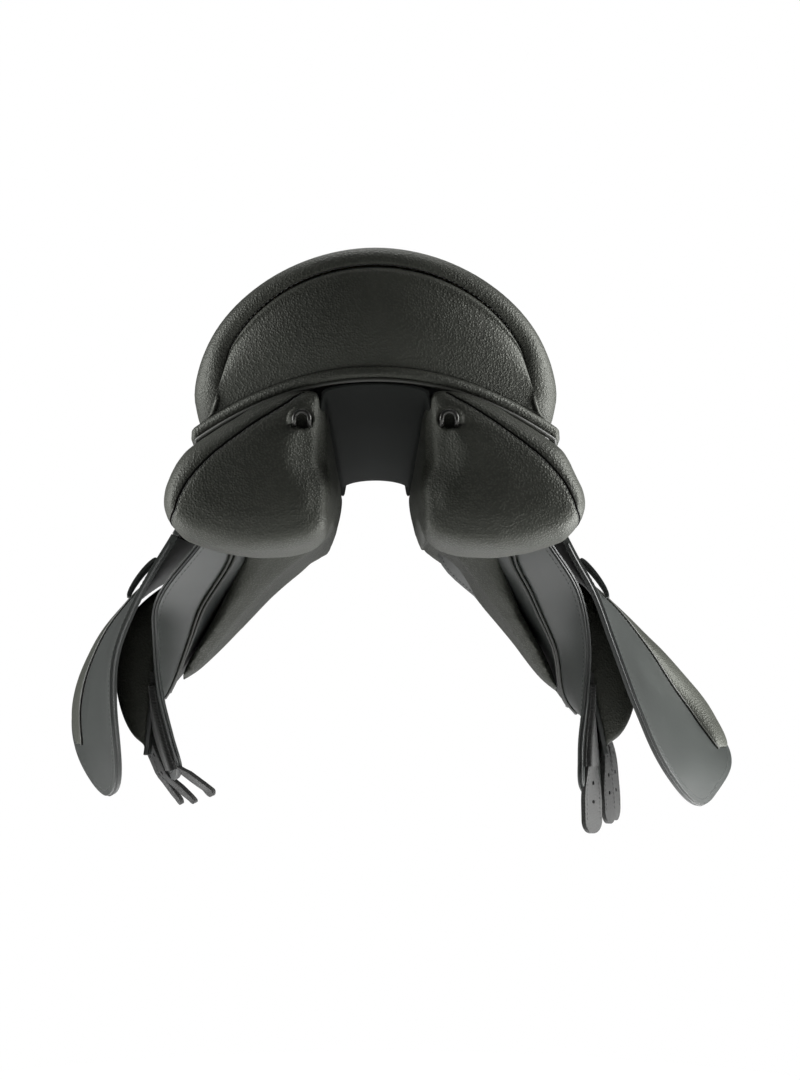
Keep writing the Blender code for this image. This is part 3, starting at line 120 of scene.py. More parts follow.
# Hanging sheets
SWEAT_WALL = 0.006
FLAP_WALL = 0.007
SKIRT_WALL = 0.005
SWEAT_TOP = 0.025
SWEAT_SEAM_INSET = 0.006
FLAP_SEAM_INSET = 0.0055
FLAP_TOP_SEAM_INSET = 0.005
FLAP_HINGE_HEIGHT = -0.012
FLAP_HINGE_SLOPE = -0.12
FLAP_BACK = -0.060
FLAP_TOP_FRONT = 0.150
FOLD_SLOT = 0.0036
SKIRT_HEM = 0.90
SKIRT_BACK = -0.030
SKIRT_FRONT = 0.146
SKIRT_ROUNDING = 0.08  # how fast the skirt narrows below its straight part
SKIRT_STRAIGHT = 0.45  # share of its depth
SKIRT_DROP = 0.003  # how far under the seat's roll the skirt starts
SKIRT_CLEAR = 1.16  # radii of the seat's roll that the skirt's top keeps from it
SHOULDER_DROP = 0.009
SHOULDER_BOW = 0.010
BAR_BACK = 0.052
BAR_FRONT = 0.108
BAR_SHARE = 0.36
BAR_HEIGHT = 0.0205  # the bar with its plate and some room, under the skirt
BAR_ALONG = (0.042, 0.026)  # half the flat stretch over the bar, and where it eases out
BAR_DOWN = (0.17, 0.19)  # the same down the skirt, in shares of its depth
LIE = 0.0004  # room between pieces that lie on each other
SWEAT_LEVELS = {
    # height, distance from the middle at y 0, and how it changes along y
    "left": (
        (0.045, 0.098, -0.30), (0.025, 0.108, -0.36), (-0.019, 0.137, -0.43), (-0.080, 0.191, -0.30),
        (-0.108, 0.200, -0.15), (-0.155, 0.205, 0.07), (-0.190, 0.2025, 0.25), (-0.230, 0.1895, 0.24),
        (-0.270, 0.172, 0.22),
    ),
    "right": (
        (0.045, 0.098, -0.30), (0.025, 0.108, -0.38), (-0.022, 0.134, -0.48), (-0.061, 0.167, -0.38),
        (-0.108, 0.191, -0.17), (-0.165, 0.197, 0.00), (-0.205, 0.2015, 0.27), (-0.251, 0.2025, 0.33),
        (-0.292, 0.203, 0.33),
    ),
}
FLAP_LEVELS = {
    "left": (
        (FLAP_HINGE_HEIGHT, 0.180, FLAP_HINGE_SLOPE), (-0.045, 0.213, 0.10), (-0.080, 0.236, 0.19),
        (-0.127, 0.2542, 0.24), (-0.165, 0.2570, 0.287), (-0.212, 0.2525, 0.335), (-0.260, 0.2425, 0.364),
    ),
    "right": (
        (FLAP_HINGE_HEIGHT, 0.168, FLAP_HINGE_SLOPE), (-0.035, 0.190, 0.05), (-0.059, 0.209, 0.15),
        (-0.110, 0.2345, 0.284), (-0.163, 0.256, 0.370), (-0.189, 0.267, 0.430), (-0.230, 0.282, 0.573),
        (-0.270, 0.290, 0.60),
    ),
}
SWEAT_TIP = {"left": -0.240, "right": -0.262}
FLAP_TIP = {"left": -0.257, "right": -0.268}
SWEAT_OUTLINE = (
    # share of the depth, back edge, front edge
    (0.00, -0.062, 0.112), (0.17, -0.062, 0.138), (0.40, -0.050, 0.156), (0.55, -0.038, 0.162),
    (0.70, -0.034, 0.150), (0.85, -0.032, 0.122), (0.95, -0.026, 0.100), (1.00, -0.006, 0.080),
)
FLAP_OUTLINE = {
    "left": (
        (0.00, -0.060, 0.150), (0.13, -0.056, 0.168), (0.28, -0.050, 0.187), (0.47, -0.045, 0.199),
        (0.62, -0.041, 0.200), (0.74, -0.036, 0.184), (0.85, -0.026, 0.150), (0.94, -0.004, 0.106),
        (1.00, 0.034, 0.055),
    ),
    "right": (
        (0.00, -0.060, 0.150), (0.13, -0.056, 0.168), (0.28, -0.050, 0.187), (0.47, -0.045, 0.199),
        (0.62, -0.039, 0.200), (0.74, -0.030, 0.180), (0.85, -0.014, 0.140), (0.94, 0.010, 0.092),
        (1.00, 0.040, 0.052),
    ),
}
CHANNEL = (
    # place along the horse, half the channel's width
    (-0.246, 0.049), (-0.225, 0.046), (-0.170, 0.041), (-0.110, 0.037), (-0.050, 0.035),
    (0.100, 0.035), (0.170, 0.034), (0.208, 0.033),
)
CEILING = (
    # place along the horse, height of the lining
    (-0.232, 0.1071), (-0.150, 0.078), (-0.060, 0.056), (0.000, 0.050), (0.080, 0.054),
    (0.150, 0.066), (0.208, 0.080),
)
LINING_WALL = 0.002
LINING_RISE = 0.009
LINING_HUMP = {"rise": 0.0100, "place": 0.10, "length": 0.07}
LINING_FLARE = 0.18  # how much the lining's foot widens with its depth
LINING_FOOT = (0.012, 0.009, 0.006, 0.003)  # depths of its foot's rows
WING_STRETCH = {"left": 0.02, "right": 0.22}  # how much longer than its frame a wing hangs
WING_STRETCH_TOP = -0.080
# How far a wing's underside is drawn up, and how far from the middle
WING_LIFT = {"left": (0.0126, 0.091), "right": (0.0238, 0.077)}
WING_PIPING = {"inner": (0.0, 0.0019), "outer": (0.0062, 0.0017)}  # place beside the edge, radius
COVER_PROUD = 0.0022  # how far a filled cover may stand out from its frame
BULB_SWELL = {"left": 0.0034, "right": 0.0022}
BULB_TRIM = {"left": 0.0, "right": 0.0036}
BULB_CROWN = 0.0055
CHANNEL_TRIM = 0.0062
WING_EDGE_LINE = (
    (-0.022, 0.010), (-0.006, -0.012), (0.012, -0.030), (0.050, -0.079), (0.095, -0.126),
    (0.128, -0.150), (0.142, -0.152),
)

# Where a gusset's seam goes on along the right panel's side
GUSSET_SIDE = (
    (0.186, -0.206, -0.020), (0.185, -0.186, -0.016), (0.178, -0.158, -0.002), (0.163, -0.125, 0.012),
    (0.146, -0.095, 0.022), (0.130, -0.070, 0.027),
)

# Blocks, pads, keepers and billets
BLOCKS = {
    # name: place, width, top, low, where it leaves the sweat flap
    "thigh_block": (0.022, 0.038, -0.026, -0.218, -0.126),
    "knee_block": (0.122, 0.040, -0.045, -0.165, -0.165),
}
BLOCK_DEPTH = {
    ("left", "thigh_block"): 0.0410, ("right", "thigh_block"): 0.050,
    ("left", "knee_block"): 0.030, ("right", "knee_block"): 0.030,
}
BLOCK_LEAN = {"left": 0.115, "right": 0.22}
BLOCK_ROOM = 0.0022  # room between a block and its flap
BLOCK_PAD = 0.86  # width of the pad as a share of its flange's
BLOCK_SEAM = 0.93  # distance of its two seams as a share of the flange's width
FLANGE = 0.005
KNEE_PAD = {"width": 0.056, "top": 0.12, "low": 0.80}
KNEE_PAD_RISE = {"left": (0.0008, 0.0020), "right": (0.0006, 0.0150)}  # at its top and at its foot
KNEE_PAD_INSET = {"left": (0.004, 0.10), "right": (0.003, 0.02)}  # from the flap's front, and its growth
KEEPER = {
    "place": 0.002, "width": 0.020, "height": 0.034, "depth": 0.0070, "wall": 0.0036, "top": -0.036,
    "taper": 0.36, "spread": 0.09,
}
BILLET_WIDTH = 0.025
BILLET_WALL = 0.004
BILLET_STAND = SWEAT_WALL + 0.0011
BILLET_TOP = 0.030
BILLET_REACH = 0.024
BILLETS = {"front": 0.086, "middle": 0.056, "rear": -0.014}
BILLET_LIE = {
    # side, name: how far the end curls towards the horse, its twist, how much shorter it is, and how far
    # above the sweat flap's tip the curl starts
    ("left", "rear"): (1.55, 0.25, 0.011, 0.022), ("left", "middle"): (0.95, 0.20, 0.002, 0.010),
    ("left", "front"): (0.40, 0.10, 0.000, 0.010), ("right", "rear"): (0.0, 0.45, -0.006, 0.010),
    ("right", "middle"): (-0.05, 0.20, 0.0, 0.010), ("right", "front"): (0.0, 0.10, 0.002, 0.010),
}
HOLE_FIRST = 0.030  # the lowest buckle hole, above the strap's end
HOLE_LAST = 0.13  # no hole is higher than this above the end
HOLE_PITCH = 0.018
HOLE_RADIUS = 0.0021
HOLE_SIDES = 14
SLEEVE_TOP = -0.150
SLEEVE_LENGTH = 0.078
SLEEVE_WALL = 0.0018

# Metal
DEE_WIRE = 0.004
REAR_DEE = {"place": 0.0635, "height": 0.0768, "width": 0.017, "rise": 0.014, "back": -0.250}
DEE_POCKET = {"half_width": 0.0112, "half_height": 0.0092, "place": -0.2475, "depth": 0.0150}
PLEAT_DEPTH = 0.0004
BARE_PARTS = {
    # parts whose frame needs no dressing but its finish
    "stirrup_bar": "steel", "bar_catch": "steel", "front_dee": "black_metal", "front_chape": "smooth",
}
NAIL_HEAD = {"radius": 0.0055, "rim": 0.0008, "crown": 0.0032}
NAIL_SIDES = 32

# Sewing
STITCH_PROFILE = (
    # share of half its length, of its radius and of its lift
    (-1.0, 0.30, -0.9), (-0.86, 0.8, -0.15), (-0.5, 1.0, 0.25), (0.0, 1.0, 0.35), (0.5, 1.0, 0.25),
    (0.86, 0.8, -0.15), (1.0, 0.30, -0.9),
)
STITCH_SINK = 0.35  # share of the thread's radius that lies in the leather
STITCH_SIDES = 6

# Stage
LAMPS = {
    # name: place, the point that it faces, size, the setting of its power and its share of that
    "top_light": ((0.0, 0.2, 1.8), (0, 0, 0.05), 1.4, "key", 1.0),
    "left_light": ((-1.6, -0.27, 0.32), (-0.1, -0.1, 0), 0.7, "side", 2.0),
    "right_light": ((1.6, -0.23, 0.50), (0.1, -0.1, 0), 0.7, "side", 3.2),
    "low_right_light": ((0.95, 0.02, -0.42), (-0.05, 0, -0.08), 0.7, "under", 1.15),
    "low_left_light": ((-0.95, 0.02, -0.42), (0.05, 0, -0.08), 0.7, "under", 0.35),
}
FLOOR_SIZE = 12.0  # half the floor's width
FLOOR_GLOW = (0.55, 1.0, 0.35, 1.0)  # from and to this distance, the share of white rises so far

# The photograph's camera: 800 by 1080 pixels
PHOTO = (800, 1080)
CAMERA_PLACE = Vector((0.0, -2.0332, -0.1869))
CAMERA_PITCH = math.radians(5.0)
FOCAL = 2093.0
AXIS_COLUMN = 375.5

# Where the photograph shows the gusset's seam on each rear bulb, in the photograph's pixels
GUSSET_SEAM = {
    "left": ((303, 392), (293, 397), (283, 404), (253, 422), (232, 437), (215, 450), (200, 464), (186, 481),
             (177, 498), (172, 513), (170, 526)),
    "right": ((447, 392), (457, 397), (470, 404), (498, 422), (519, 437), (536, 450), (551, 464), (565, 481),
              (574, 498), (579, 513), (580, 526)),
}


def colour_setting(name, description, value):
    """A colour among the settings."""
    return FloatVectorProperty(name=name, description=description, subtype="COLOR", size=3,
                               min=0.0, max=1.0, default=value)


def length_setting(name, description, low, high, value):
    """A length among the settings."""
    return FloatProperty(name=name, description=description, unit="LENGTH",
                         min=low, max=high, default=value)


def power_setting(name, description, value):
    """A lamp's power among the settings."""
    return FloatProperty(name=name, description=description, unit="POWER", min=0.0, default=value)


class LeatherSettings(bpy.types.PropertyGroup):
    """Colours and grain of the coverings."""

    grained: colour_setting("Grained leather", "Colour of the pebbled covering", (0.0150, 0.0158, 0.0128))
    smooth: colour_setting("Smooth leather", "Colour of the flaps", (0.0150, 0.0168, 0.0156))
    lining: colour_setting("Gullet lining", "Colour of the channel's lining", (0.0085, 0.0095, 0.0088))
    grain: length_setting("Grain", "Width of one pebble of the grain", 0.0005, 0.01, 0.0021)
    grain_depth: length_setting("Grain depth", "Height of the pebbles", 0.0, 0.001, 0.00027)


class SewingSettings(bpy.types.PropertyGroup):
    """Thread and stitch sizes."""

    thread: colour_setting("Thread", "Colour of the thread", (0.010, 0.011, 0.010))
    stitch: length_setting("Stitch", "Length of one stitch", 0.001, 0.02, 0.0032)
    pitch: length_setting("Pitch", "Distance from stitch to stitch", 0.001, 0.02, 0.0046)
    diameter: length_setting("Thread diameter", "Thickness of the thread", 0.0002, 0.003, 0.0008)


class PaddingSettings(bpy.types.PropertyGroup):
    """How the padded pieces are filled."""

    voxel: length_setting("Mesh size", "Size of the faces that swell", 0.002, 0.02, 0.0036)
    pressure: FloatProperty(name="Pressure", description="Air pressure that fills the covers",
                            min=0.0, max=50.0, default=4.0)
    slack: length_setting("Slack", "How much smaller a cover starts than its frame", 0.0, 0.01, 0.0004)
    travel: length_setting("Travel", "Farthest that a cover moves while it fills", 0.0, 0.03, 0.005)


class StageSettings(bpy.types.PropertyGroup):
    """Light and floor."""

    key: power_setting("Top light", "Power of the light above", 30.0)
    side: power_setting("Side lights", "Power that both side lights are a multiple of", 22.0)
    under: power_setting("Low lights", "Power that both low lights are a multiple of", 22.0)
    fill: FloatProperty(name="Room light", description="Brightness of the room",
                        min=0.0, max=2.0, default=0.08)
    floor: FloatProperty(name="Floor", description="Height of the floor", unit="LENGTH", default=-0.62)


# Shader maths


class Value:
    """What a socket gives over a surface. Expressions on values add Math nodes."""

    def __init__(self, finish, socket):
        self.finish = finish
        self.socket = socket

    def maths(self, operation, first, second=0.0):
        return self.finish.node("ShaderNodeMath", {"operation": operation}, {0: first, 1: second})

    def __add__(self, other):
        return self.maths("ADD", self, other)

    def __sub__(self, other):
        return self.maths("SUBTRACT", self, other)

    def __rsub__(self, other):
        return self.maths("SUBTRACT", other, self)

    def __mul__(self, other):
        return self.maths("MULTIPLY", self, other)

    __radd__ = __add__
    __rmul__ = __mul__

    def wave(self):
        return self.maths("SINE", self)

    def size(self):
        return self.maths("ABSOLUTE", self)


class Finish:
    """A material in the making, with its shader and output."""

    def __init__(self, name, **plain):
        self.material = bpy.data.materials.new(name)
        self.material.use_nodes = True
        self.tree = self.material.node_tree
        self.shader = self.tree.nodes["Principled BSDF"]
        for socket, value in plain.items():
            self.shader.inputs[socket.replace("_", " ")].default_value = value
        self.place = self.node("ShaderNodeTexCoord", output="Object")

    def node(self, kind, settings=None, sockets=None, output=0):
        """Adds a node: its settings first, then the values or links of its sockets."""
        made = self.tree.nodes.new(kind)
        for name, value in (settings or {}).items():
            setattr(made, name, value)
        for name, value in (sockets or {}).items():
            self.put(made.inputs[name], value)
        return Value(self, made.outputs[output])

    def put(self, socket, value):
        if isinstance(value, Value):
            self.tree.links.new(value.socket, socket)
        elif hasattr(value, "__len__") and len(value) == 3 and socket.type == "RGBA":
            socket.default_value = (*value, 1.0)
        else:
            socket.default_value = value

    def noise(self, scale, detail=2.0, rough=0.5, place=None, output=0):
        sockets = {"Vector": place or self.place, "Scale": scale, "Detail": detail, "Roughness": rough}
        return self.node("ShaderNodeTexNoise", None, sockets, output)

    def cells(self, scale, place=None, randomness=1.0):
        sockets = {"Vector": place or self.place, "Scale": scale, "Randomness": randomness}
        return self.node("ShaderNodeTexVoronoi", {"feature": "F1"}, sockets)

    def scaled(self, factors):
        """The place on the surface, with each axis multiplied."""
        return self.node("ShaderNodeVectorMath", {"operation": "MULTIPLY"}, {0: self.place, 1: factors})

    def axes(self):
        """The x, y and z of the place on the surface."""
        parts = self.node("ShaderNodeSeparateXYZ", None, {"Vector": self.place})
        return [Value(self, socket) for socket in parts.socket.node.outputs]

    def mix(self, share, first, second):
        return self.node("ShaderNodeMix", {"data_type": "RGBA"}, {0: share, 6: first, 7: second}, 2)

    def stretch(self, value, low, high, new_low=0.0, new_high=1.0):
        sockets = {"Value": value, "From Min": low, "From Max": high, "To Min": new_low, "To Max": new_high}
        return self.node("ShaderNodeMapRange", None, sockets)

    def surface(self, colour, roughness, height, depth):
        """Joins the colour, roughness and relief to the shader."""
        self.put(self.shader.inputs["Base Color"], colour)
        self.put(self.shader.inputs["Roughness"], roughness)
        relief = self.node("ShaderNodeBump", None, {"Strength": 1.0, "Distance": depth, "Height": height})
        self.put(self.shader.inputs["Normal"], relief)
        return self.material


def tone(colour, factor):
    return tuple(min(part * factor, 1.0) for part in colour)


def grained_leather(name, colour, grain, depth, rough=0.47, gloss=0.30):
    """Pebbled covering: domed grains with painted shade in their valleys and painted highlights on their
    worn, shinier crowns, and fine pores.
    """
    finish = Finish(name, Specular_IOR_Level=gloss, Specular_Tint=(0.97, 1.0, 0.90, 1.0))
    bend = finish.noise(0.35 / grain, 2.0, output=1)
    bent = finish.node("ShaderNodeVectorMath", {"operation": "MULTIPLY_ADD"},
                       {0: bend, 1: (0.22 * grain,) * 3, 2: finish.place})
    pebble = finish.stretch(finish.cells(1.0 / grain, bent, 0.9), 0.15, 0.62, 1.0, 0.0)
    small = finish.cells(2.7 / grain, bent)
    pores = finish.noise(4200.0, 1.0)
    broad = finish.noise(14.0, 3.0)
    patches = finish.noise(60.0, 3.0)
    height = pebble + 0.28 * (1.0 - small) + 0.08 * pores
    # Painted shade and highlight: the pebbles' valleys are darker and their crowns lighter, mixed with
    # random patches of tone
    painted_grain_shade_and_patches = finish.stretch(pebble * 0.75 + patches * 0.5, 0.1, 1.05)
    base = finish.mix(painted_grain_shade_and_patches, tone(colour, 0.55), tone(colour, 1.35))
    base = finish.mix(finish.stretch(broad, 0.35, 0.7), base, tone(colour, 1.12))
    roughness = rough + 0.10 * (1.0 - pebble) + 0.10 * (broad - 0.5) + 0.05 * (patches - 0.5)
    return finish.surface(base, roughness, height, depth)


def smooth_leather(name, colour, rough=0.36, gloss=0.34):
    """Satin covering: very fine grain, soft cloudy gloss, faint creases and fine scuffs."""
    finish = Finish(name, Specular_IOR_Level=gloss)
    fine = finish.cells(1150.0)
    pores = finish.noise(3400.0, 2.0)
    cloud = finish.noise(9.0, 4.0)
    crease = finish.noise(38.0, 5.0, 0.6)
    scuff = finish.noise(55.0, 4.0, 0.7, finish.scaled((1.0, 9.0, 1.0)))
    scratch = finish.stretch(scuff, 0.60, 0.72)
    base = finish.mix(finish.stretch(cloud, 0.3, 0.7), tone(colour, 0.82), tone(colour, 1.18))
    base = finish.mix(scratch * 0.22, base, tone(colour, 1.9))
    roughness = rough + 0.09 * (cloud - 0.5) + 0.05 * (pores - 0.5) + 0.06 * scratch
    height = 0.55 * (1.0 - fine) + 0.25 * pores + 0.8 * crease
    return finish.surface(base, roughness, height, 0.00011)


def thread_finish(name, colour):
    """Waxed thread: twisted strands and a soft shine."""
    finish = Finish(name, Specular_IOR_Level=0.35)
    x, y, z = finish.axes()
    twist = ((x + y + z) * 7800.0).wave()
    base = finish.mix(finish.stretch(twist, -1.0, 1.0), tone(colour, 0.6), tone(colour, 1.5))
    return finish.surface(base, 0.5 + 0.1 * finish.noise(900.0), twist, 0.00008)


def webbing_finish(name, colour, pitch=0.0016):
    """Woven strap: ribs along and picks across, painted shade in the hollows of the weave, and lighter worn
    patches.
    """
    finish = Finish(name, Specular_IOR_Level=0.25, Sheen_Weight=0.12, Sheen_Roughness=0.5)
    _, y, z = finish.axes()
    across = (y * (2 * math.pi / pitch)).wave()
    along = (z * (math.pi / pitch)).wave()
    weave = across * along
    fluff = finish.noise(2600.0, 2.0)
    worn = finish.noise(45.0, 3.0)
    height = 0.5 * weave + 0.35 * across.size() + 0.25 * fluff
    # Painted shade: darker in the hollows of the weave, lighter on its ribs
    base = finish.mix(finish.stretch(weave + 0.6 * fluff, -0.9, 1.3), tone(colour, 0.5), tone(colour, 1.6))
    base = finish.mix(finish.stretch(worn, 0.45, 0.75, 0.0, 0.5), base, tone(colour, 1.7))
    return finish.surface(base, 0.74 + 0.12 * (fluff - 0.5), height, 0.00028)


def foam_finish(name):
    """Open-celled foam."""
    finish = Finish(name, Specular_IOR_Level=0.2)
    cells = finish.cells(900.0)
    tint = finish.noise(20.0, 3.0)
    base = finish.mix(finish.stretch(tint, 0.3, 0.7), (0.50, 0.44, 0.29), (0.66, 0.61, 0.46))
    return finish.surface(base, 0.9 - 0.1 * cells, cells, 0.0006)


def moulded_finish(name, colour, rough=0.5):
    """Moulded plastic: fine spark texture and slight flow marks."""
    finish = Finish(name, Specular_IOR_Level=0.4)
    spark = finish.noise(1800.0, 2.0)
    flow = finish.noise(12.0, 4.0)
    base = finish.mix(flow, tone(colour, 0.8), tone(colour, 1.25))
    return finish.surface(base, rough + 0.15 * (flow - 0.5), spark, 0.00012)


def metal_finish(name, colour, rough=0.28, worn=(0.30, 0.30, 0.29), wear=0.62):
    """Metal with fine drawn lines, smudges and rubbed spots."""
    finish = Finish(name, Metallic=1.0, Specular_IOR_Level=0.5)
    drawn = finish.noise(320.0, 3.0, 0.6, finish.scaled((1.0, 1.0, 14.0)))
    smudge = finish.noise(70.0, 4.0, 0.6)
    rubbed = finish.stretch(finish.noise(230.0, 4.0, 0.7), wear, wear + 0.1)
    base = finish.mix(rubbed, colour, worn)
    roughness = rough + 0.16 * (smudge - 0.4) + 0.08 * drawn
    return finish.surface(base, roughness, drawn, 0.00004)


FINISHES = {}


def finish_of(name):
    """The shared material of this name, made when it is first asked for."""
    if name not in FINISHES:
        leather = bpy.context.scene.saddle_leather
        sewing = bpy.context.scene.saddle_sewing
        makers = {
            "grained": lambda: grained_leather("grained_leather", leather.grained, leather.grain,
                                               leather.grain_depth),
            "smooth": lambda: smooth_leather("flap_leather", tone(leather.smooth, 1.1)),
            # Painted sheen: the sweat flaps take the flaps' own leather, made lighter to stand for its sheen
            "sweat": lambda: smooth_leather("sweat_flap_leather_painted_sheen", tone(leather.smooth, 1.35), 0.36, 0.42),
            "piping": lambda: smooth_leather("piping_leather", leather.grained, 0.42, 0.32),
            "lining": lambda: smooth_leather("lining_leather", leather.lining, 0.78, 0.06),
            "thread": lambda: thread_finish("thread", sewing.thread),
            # Painted shadow: a near-black matt cord that stands for the shade in a seam's narrow groove
            "seam": lambda: smooth_leather("seam_painted_shadow", tone(leather.grained, 0.15), 0.85, 0.03),
            "webbing": lambda: webbing_finish("billet_webbing", (0.0060, 0.0062, 0.0056)),
            "tree_webbing": lambda: webbing_finish("seat_webbing", (0.09, 0.075, 0.05)),
            "foam": lambda: foam_finish("seat_foam"),
            "tree": lambda: moulded_finish("moulded_tree", (0.05, 0.05, 0.05)),
            "steel": lambda: metal_finish("stirrup_bar_steel", (0.50, 0.50, 0.49), 0.26),
            "black_metal": lambda: metal_finish("dark_metal", (0.040, 0.040, 0.038), 0.34,
                                                (0.09, 0.09, 0.087), 0.60),
            "nickel": lambda: metal_finish("nail_nickel", (0.32, 0.31, 0.30), 0.18, (0.5, 0.49, 0.46), 0.66),
            "edge": lambda: smooth_leather("burnished_edge", tone(leather.smooth, 0.8), 0.46, 0.28),
        }
        FINISHES[name] = makers[name]()
    return FINISHES[name]


# Mesh making


def put(name, mesh):
    obj = bpy.data.objects.new(name, mesh)
    bpy.context.scene.collection.objects.link(obj)
    return obj


def settle(obj, angle=50.0):
    """Applies the object's modifiers and shades it smooth."""
    graph = bpy.context.evaluated_depsgraph_get()
    made = bpy.data.meshes.new_from_object(obj.evaluated_get(graph))
    obj.modifiers.clear()
    old = obj.data
    obj.data = made
    bpy.data.meshes.remove(old)
    made.name = obj.name
    made.shade_smooth()
    made.set_sharp_from_angle(angle=math.radians(angle))
    return obj


def refined(obj):
    """Smooths the object by one level of subdivision."""
    surface = obj.modifiers.new("Surface", "SUBSURF")
    surface.levels = surface.render_levels = 1
    return settle(obj, 70.0)


def coat(obj, finish):
    """Gives a piece its one material."""
    obj.data.materials.clear()
    obj.data.materials.append(finish_of(finish))


def dress(obj, finish, slot, *nodes, body=None):
    """Gives a piece its material and body, and hides the nodes that it stands for. The slot is not used."""
    coat(obj, finish)
    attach(obj, body or NODES[nodes[0]]["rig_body"])
    if nodes:
        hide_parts(*nodes)
    return obj


def build(name, verts, faces):
    mesh = bpy.data.meshes.new(name)
    mesh.from_pydata([tuple(vert) for vert in verts], [], faces)
    bm = bmesh.new()
    bm.from_mesh(mesh)
    bmesh.ops.remove_doubles(bm, verts=bm.verts, dist=0.00002)
    bmesh.ops.dissolve_degenerate(bm, edges=bm.edges, dist=0.00001)
    bmesh.ops.recalc_face_normals(bm, faces=bm.faces)
    bm.to_mesh(mesh)
    bm.free()
    return put(name, mesh)


def bands(rows, count, start=0):
    """Faces between rings of points that follow each other from a start."""
    faces = []
    for row in range(rows - 1):
        here = start + row * count
        there = here + count
        for k in range(count):
            after = (k + 1) % count
            faces.append((here + k, here + after, there + after, there + k))
    return faces


def caps(rows, count, start=0):
    """Faces that close the first and the last of such rings."""
    last = start + (rows - 1) * count
    return [tuple(range(start, start + count))[::-1], tuple(range(last, last + count))]


def circle(middle, beside, up, radius, sides):
    """Points of a circle in the plane of two directions."""
    turns = [2 * math.pi * k / sides for k in range(sides)]
    return [middle + (beside * math.cos(turn) + up * math.sin(turn)) * radius for turn in turns]


def slab(name, outer, inner, closed=False, edge=0.001):
    """A closed wall between two grids of points, with rounded edges."""
    rows, count = len(outer), len(outer[0])
    lower = rows * count
    steps = count if closed else count - 1
    faces = []
    for row in range(rows - 1):
        for k in range(steps):
            a = row * count + k
            b = row * count + (k + 1) % count
            faces.append((a, b, b + count, a + count))
            faces.append((a + count + lower, b + count + lower, b + lower, a + lower))
    for row in (0, rows - 1):
        for k in range(steps):
            a = row * count + k
            b = row * count + (k + 1) % count
            faces.append((a, b, b + lower, a + lower))
    if not closed:
        for k in (0, count - 1):
            for row in range(rows - 1):
                a = row * count + k
                faces.append((a, a + count, a + count + lower, a + lower))
    verts = [point for row in outer for point in row] + [point for row in inner for point in row]
    obj = build(name, verts, faces)
    bevel = obj.modifiers.new("Rounding", "BEVEL")
    bevel.width = edge
    bevel.segments = 3
    bevel.limit_method = "ANGLE"
    bevel.angle_limit = math.radians(50.0)
    bevel.use_clamp_overlap = True
    return settle(obj, 60.0)


def pod(name, rings):
    """A closed form over rings of points, with rounded ends."""
    count = len(rings[0])
    verts = [point for ring in rings for point in ring]
    faces = bands(len(rings), count)
    for ring, start in ((rings[0], 0), (rings[-1], (len(rings) - 1) * count)):
        verts.append(sum(ring, Vector()) / count)
        hub = len(verts) - 1
        faces += [(start + k, start + (k + 1) % count, hub) for k in range(count)]
    return build(name, verts, faces)


def frames_along(points):
    """Directions along and beside a line at each of its points, without twist."""
    befores = points[:1] + points[:-1]
    afters = points[1:] + points[-1:]
    runs = [(after - before).normalized() for before, after in zip(befores, afters)]
    beside = runs[0].orthogonal().normalized()
    made = []
    for run in runs:
        beside = (beside - run * beside.dot(run)).normalized()
        made.append((run, beside, run.cross(beside)))
    return made


def tube(name, points, radius, sides):
    """A round cord along the points, with domed ends. The radius may change with the share of the way."""
    points = [Vector(point) for point in points]
    size = radius if callable(radius) else lambda share: radius
    frames = frames_along(points)
    last = len(points) - 1
    rings = [
        (point, size(k / last), beside, up) for k, (point, (_, beside, up)) in enumerate(zip(points, frames))
    ]
    for end, direction in ((0, -1.0), (-1, 1.0)):
        point, wide, beside, up = rings[end]
        run = frames[end][0]
        domes = [
            (point + run * (direction * wide * math.sin(turn)), wide * math.cos(turn), beside, up)
            for turn in (0.5, 1.0, 1.35)
        ]
        rings = domes[::-1] + rings if end == 0 else rings + domes
    verts = [vert for point, wide, beside, up in rings for vert in circle(point, beside, up, wide, sides)]
    return settle(build(name, verts, bands(len(rings), sides) + caps(len(rings), sides)))


def curve(a, b, c, d, t):
    """Point of a Catmull-Rom curve on its way from b to c."""
    return (b * 2 + (c - a) * t + (a * 2 - b * 5 + c * 4 - d) * t**2 + (b * 3 - a - c * 3 + d) * t**3) / 2


def smooth_line(points, steps):
    """Points of a Catmull-Rom curve through the given ones."""
    given = [Vector(point) for point in points]
    count = len(given)
    made = []
    for i in range(count - 1):
        b, c = given[i], given[i + 1]
        a = given[i - 1] if i else b * 2 - c
        d = given[i + 2] if i + 2 < count else c * 2 - b
        made += [curve(a, b, c, d, k / steps) for k in range(steps)]
    return made + given[-1:]


def share_of(value, low, high):
    """How far the value is on its way from low to high, eased and kept between 0 and 1."""
    share = min(max((value - low) / (high - low), 0.0), 1.0)
    return share * share * (3 - 2 * share)


def bell(value, middle, width):
    """1 at the middle, fading to nothing over some widths."""
    return math.exp(-(((value - middle) / width) ** 2))


def arch(share, power, low=0.0, high=1.0):
    """Half a sine wave over the share, made fuller by a power under 1."""
    return max(math.sin(math.pi * min(max(share, low), high)), 0.0) ** power


def mirrored(points):
    """The same points on the other side of the horse."""
    return [Vector((-point.x, point.y, point.z)) for point in points]


def cubic(knots, at):
    """Value of a smooth curve through (place, value) knots."""
    places = np.array([knot[0] for knot in knots])
    values = np.array([knot[1] for knot in knots])
    if places[0] > places[-1]:
        places, values = places[::-1], values[::-1]
    slopes = np.gradient(values, places)
    if at <= places[0]:
        return float(values[0] + slopes[0] * (at - places[0]))
    if at >= places[-1]:
        return float(values[-1] + slopes[-1] * (at - places[-1]))
    i = min(int(np.searchsorted(places, at, side="right")) - 1, len(places) - 2)
    width = places[i + 1] - places[i]
    t = (at - places[i]) / width
    return float((2 * t**3 - 3 * t**2 + 1) * values[i] + (t**3 - 2 * t**2 + t) * width * slopes[i]
                 + (3 * t**2 - 2 * t**3) * values[i + 1] + (t**3 - t**2) * width * slopes[i + 1])


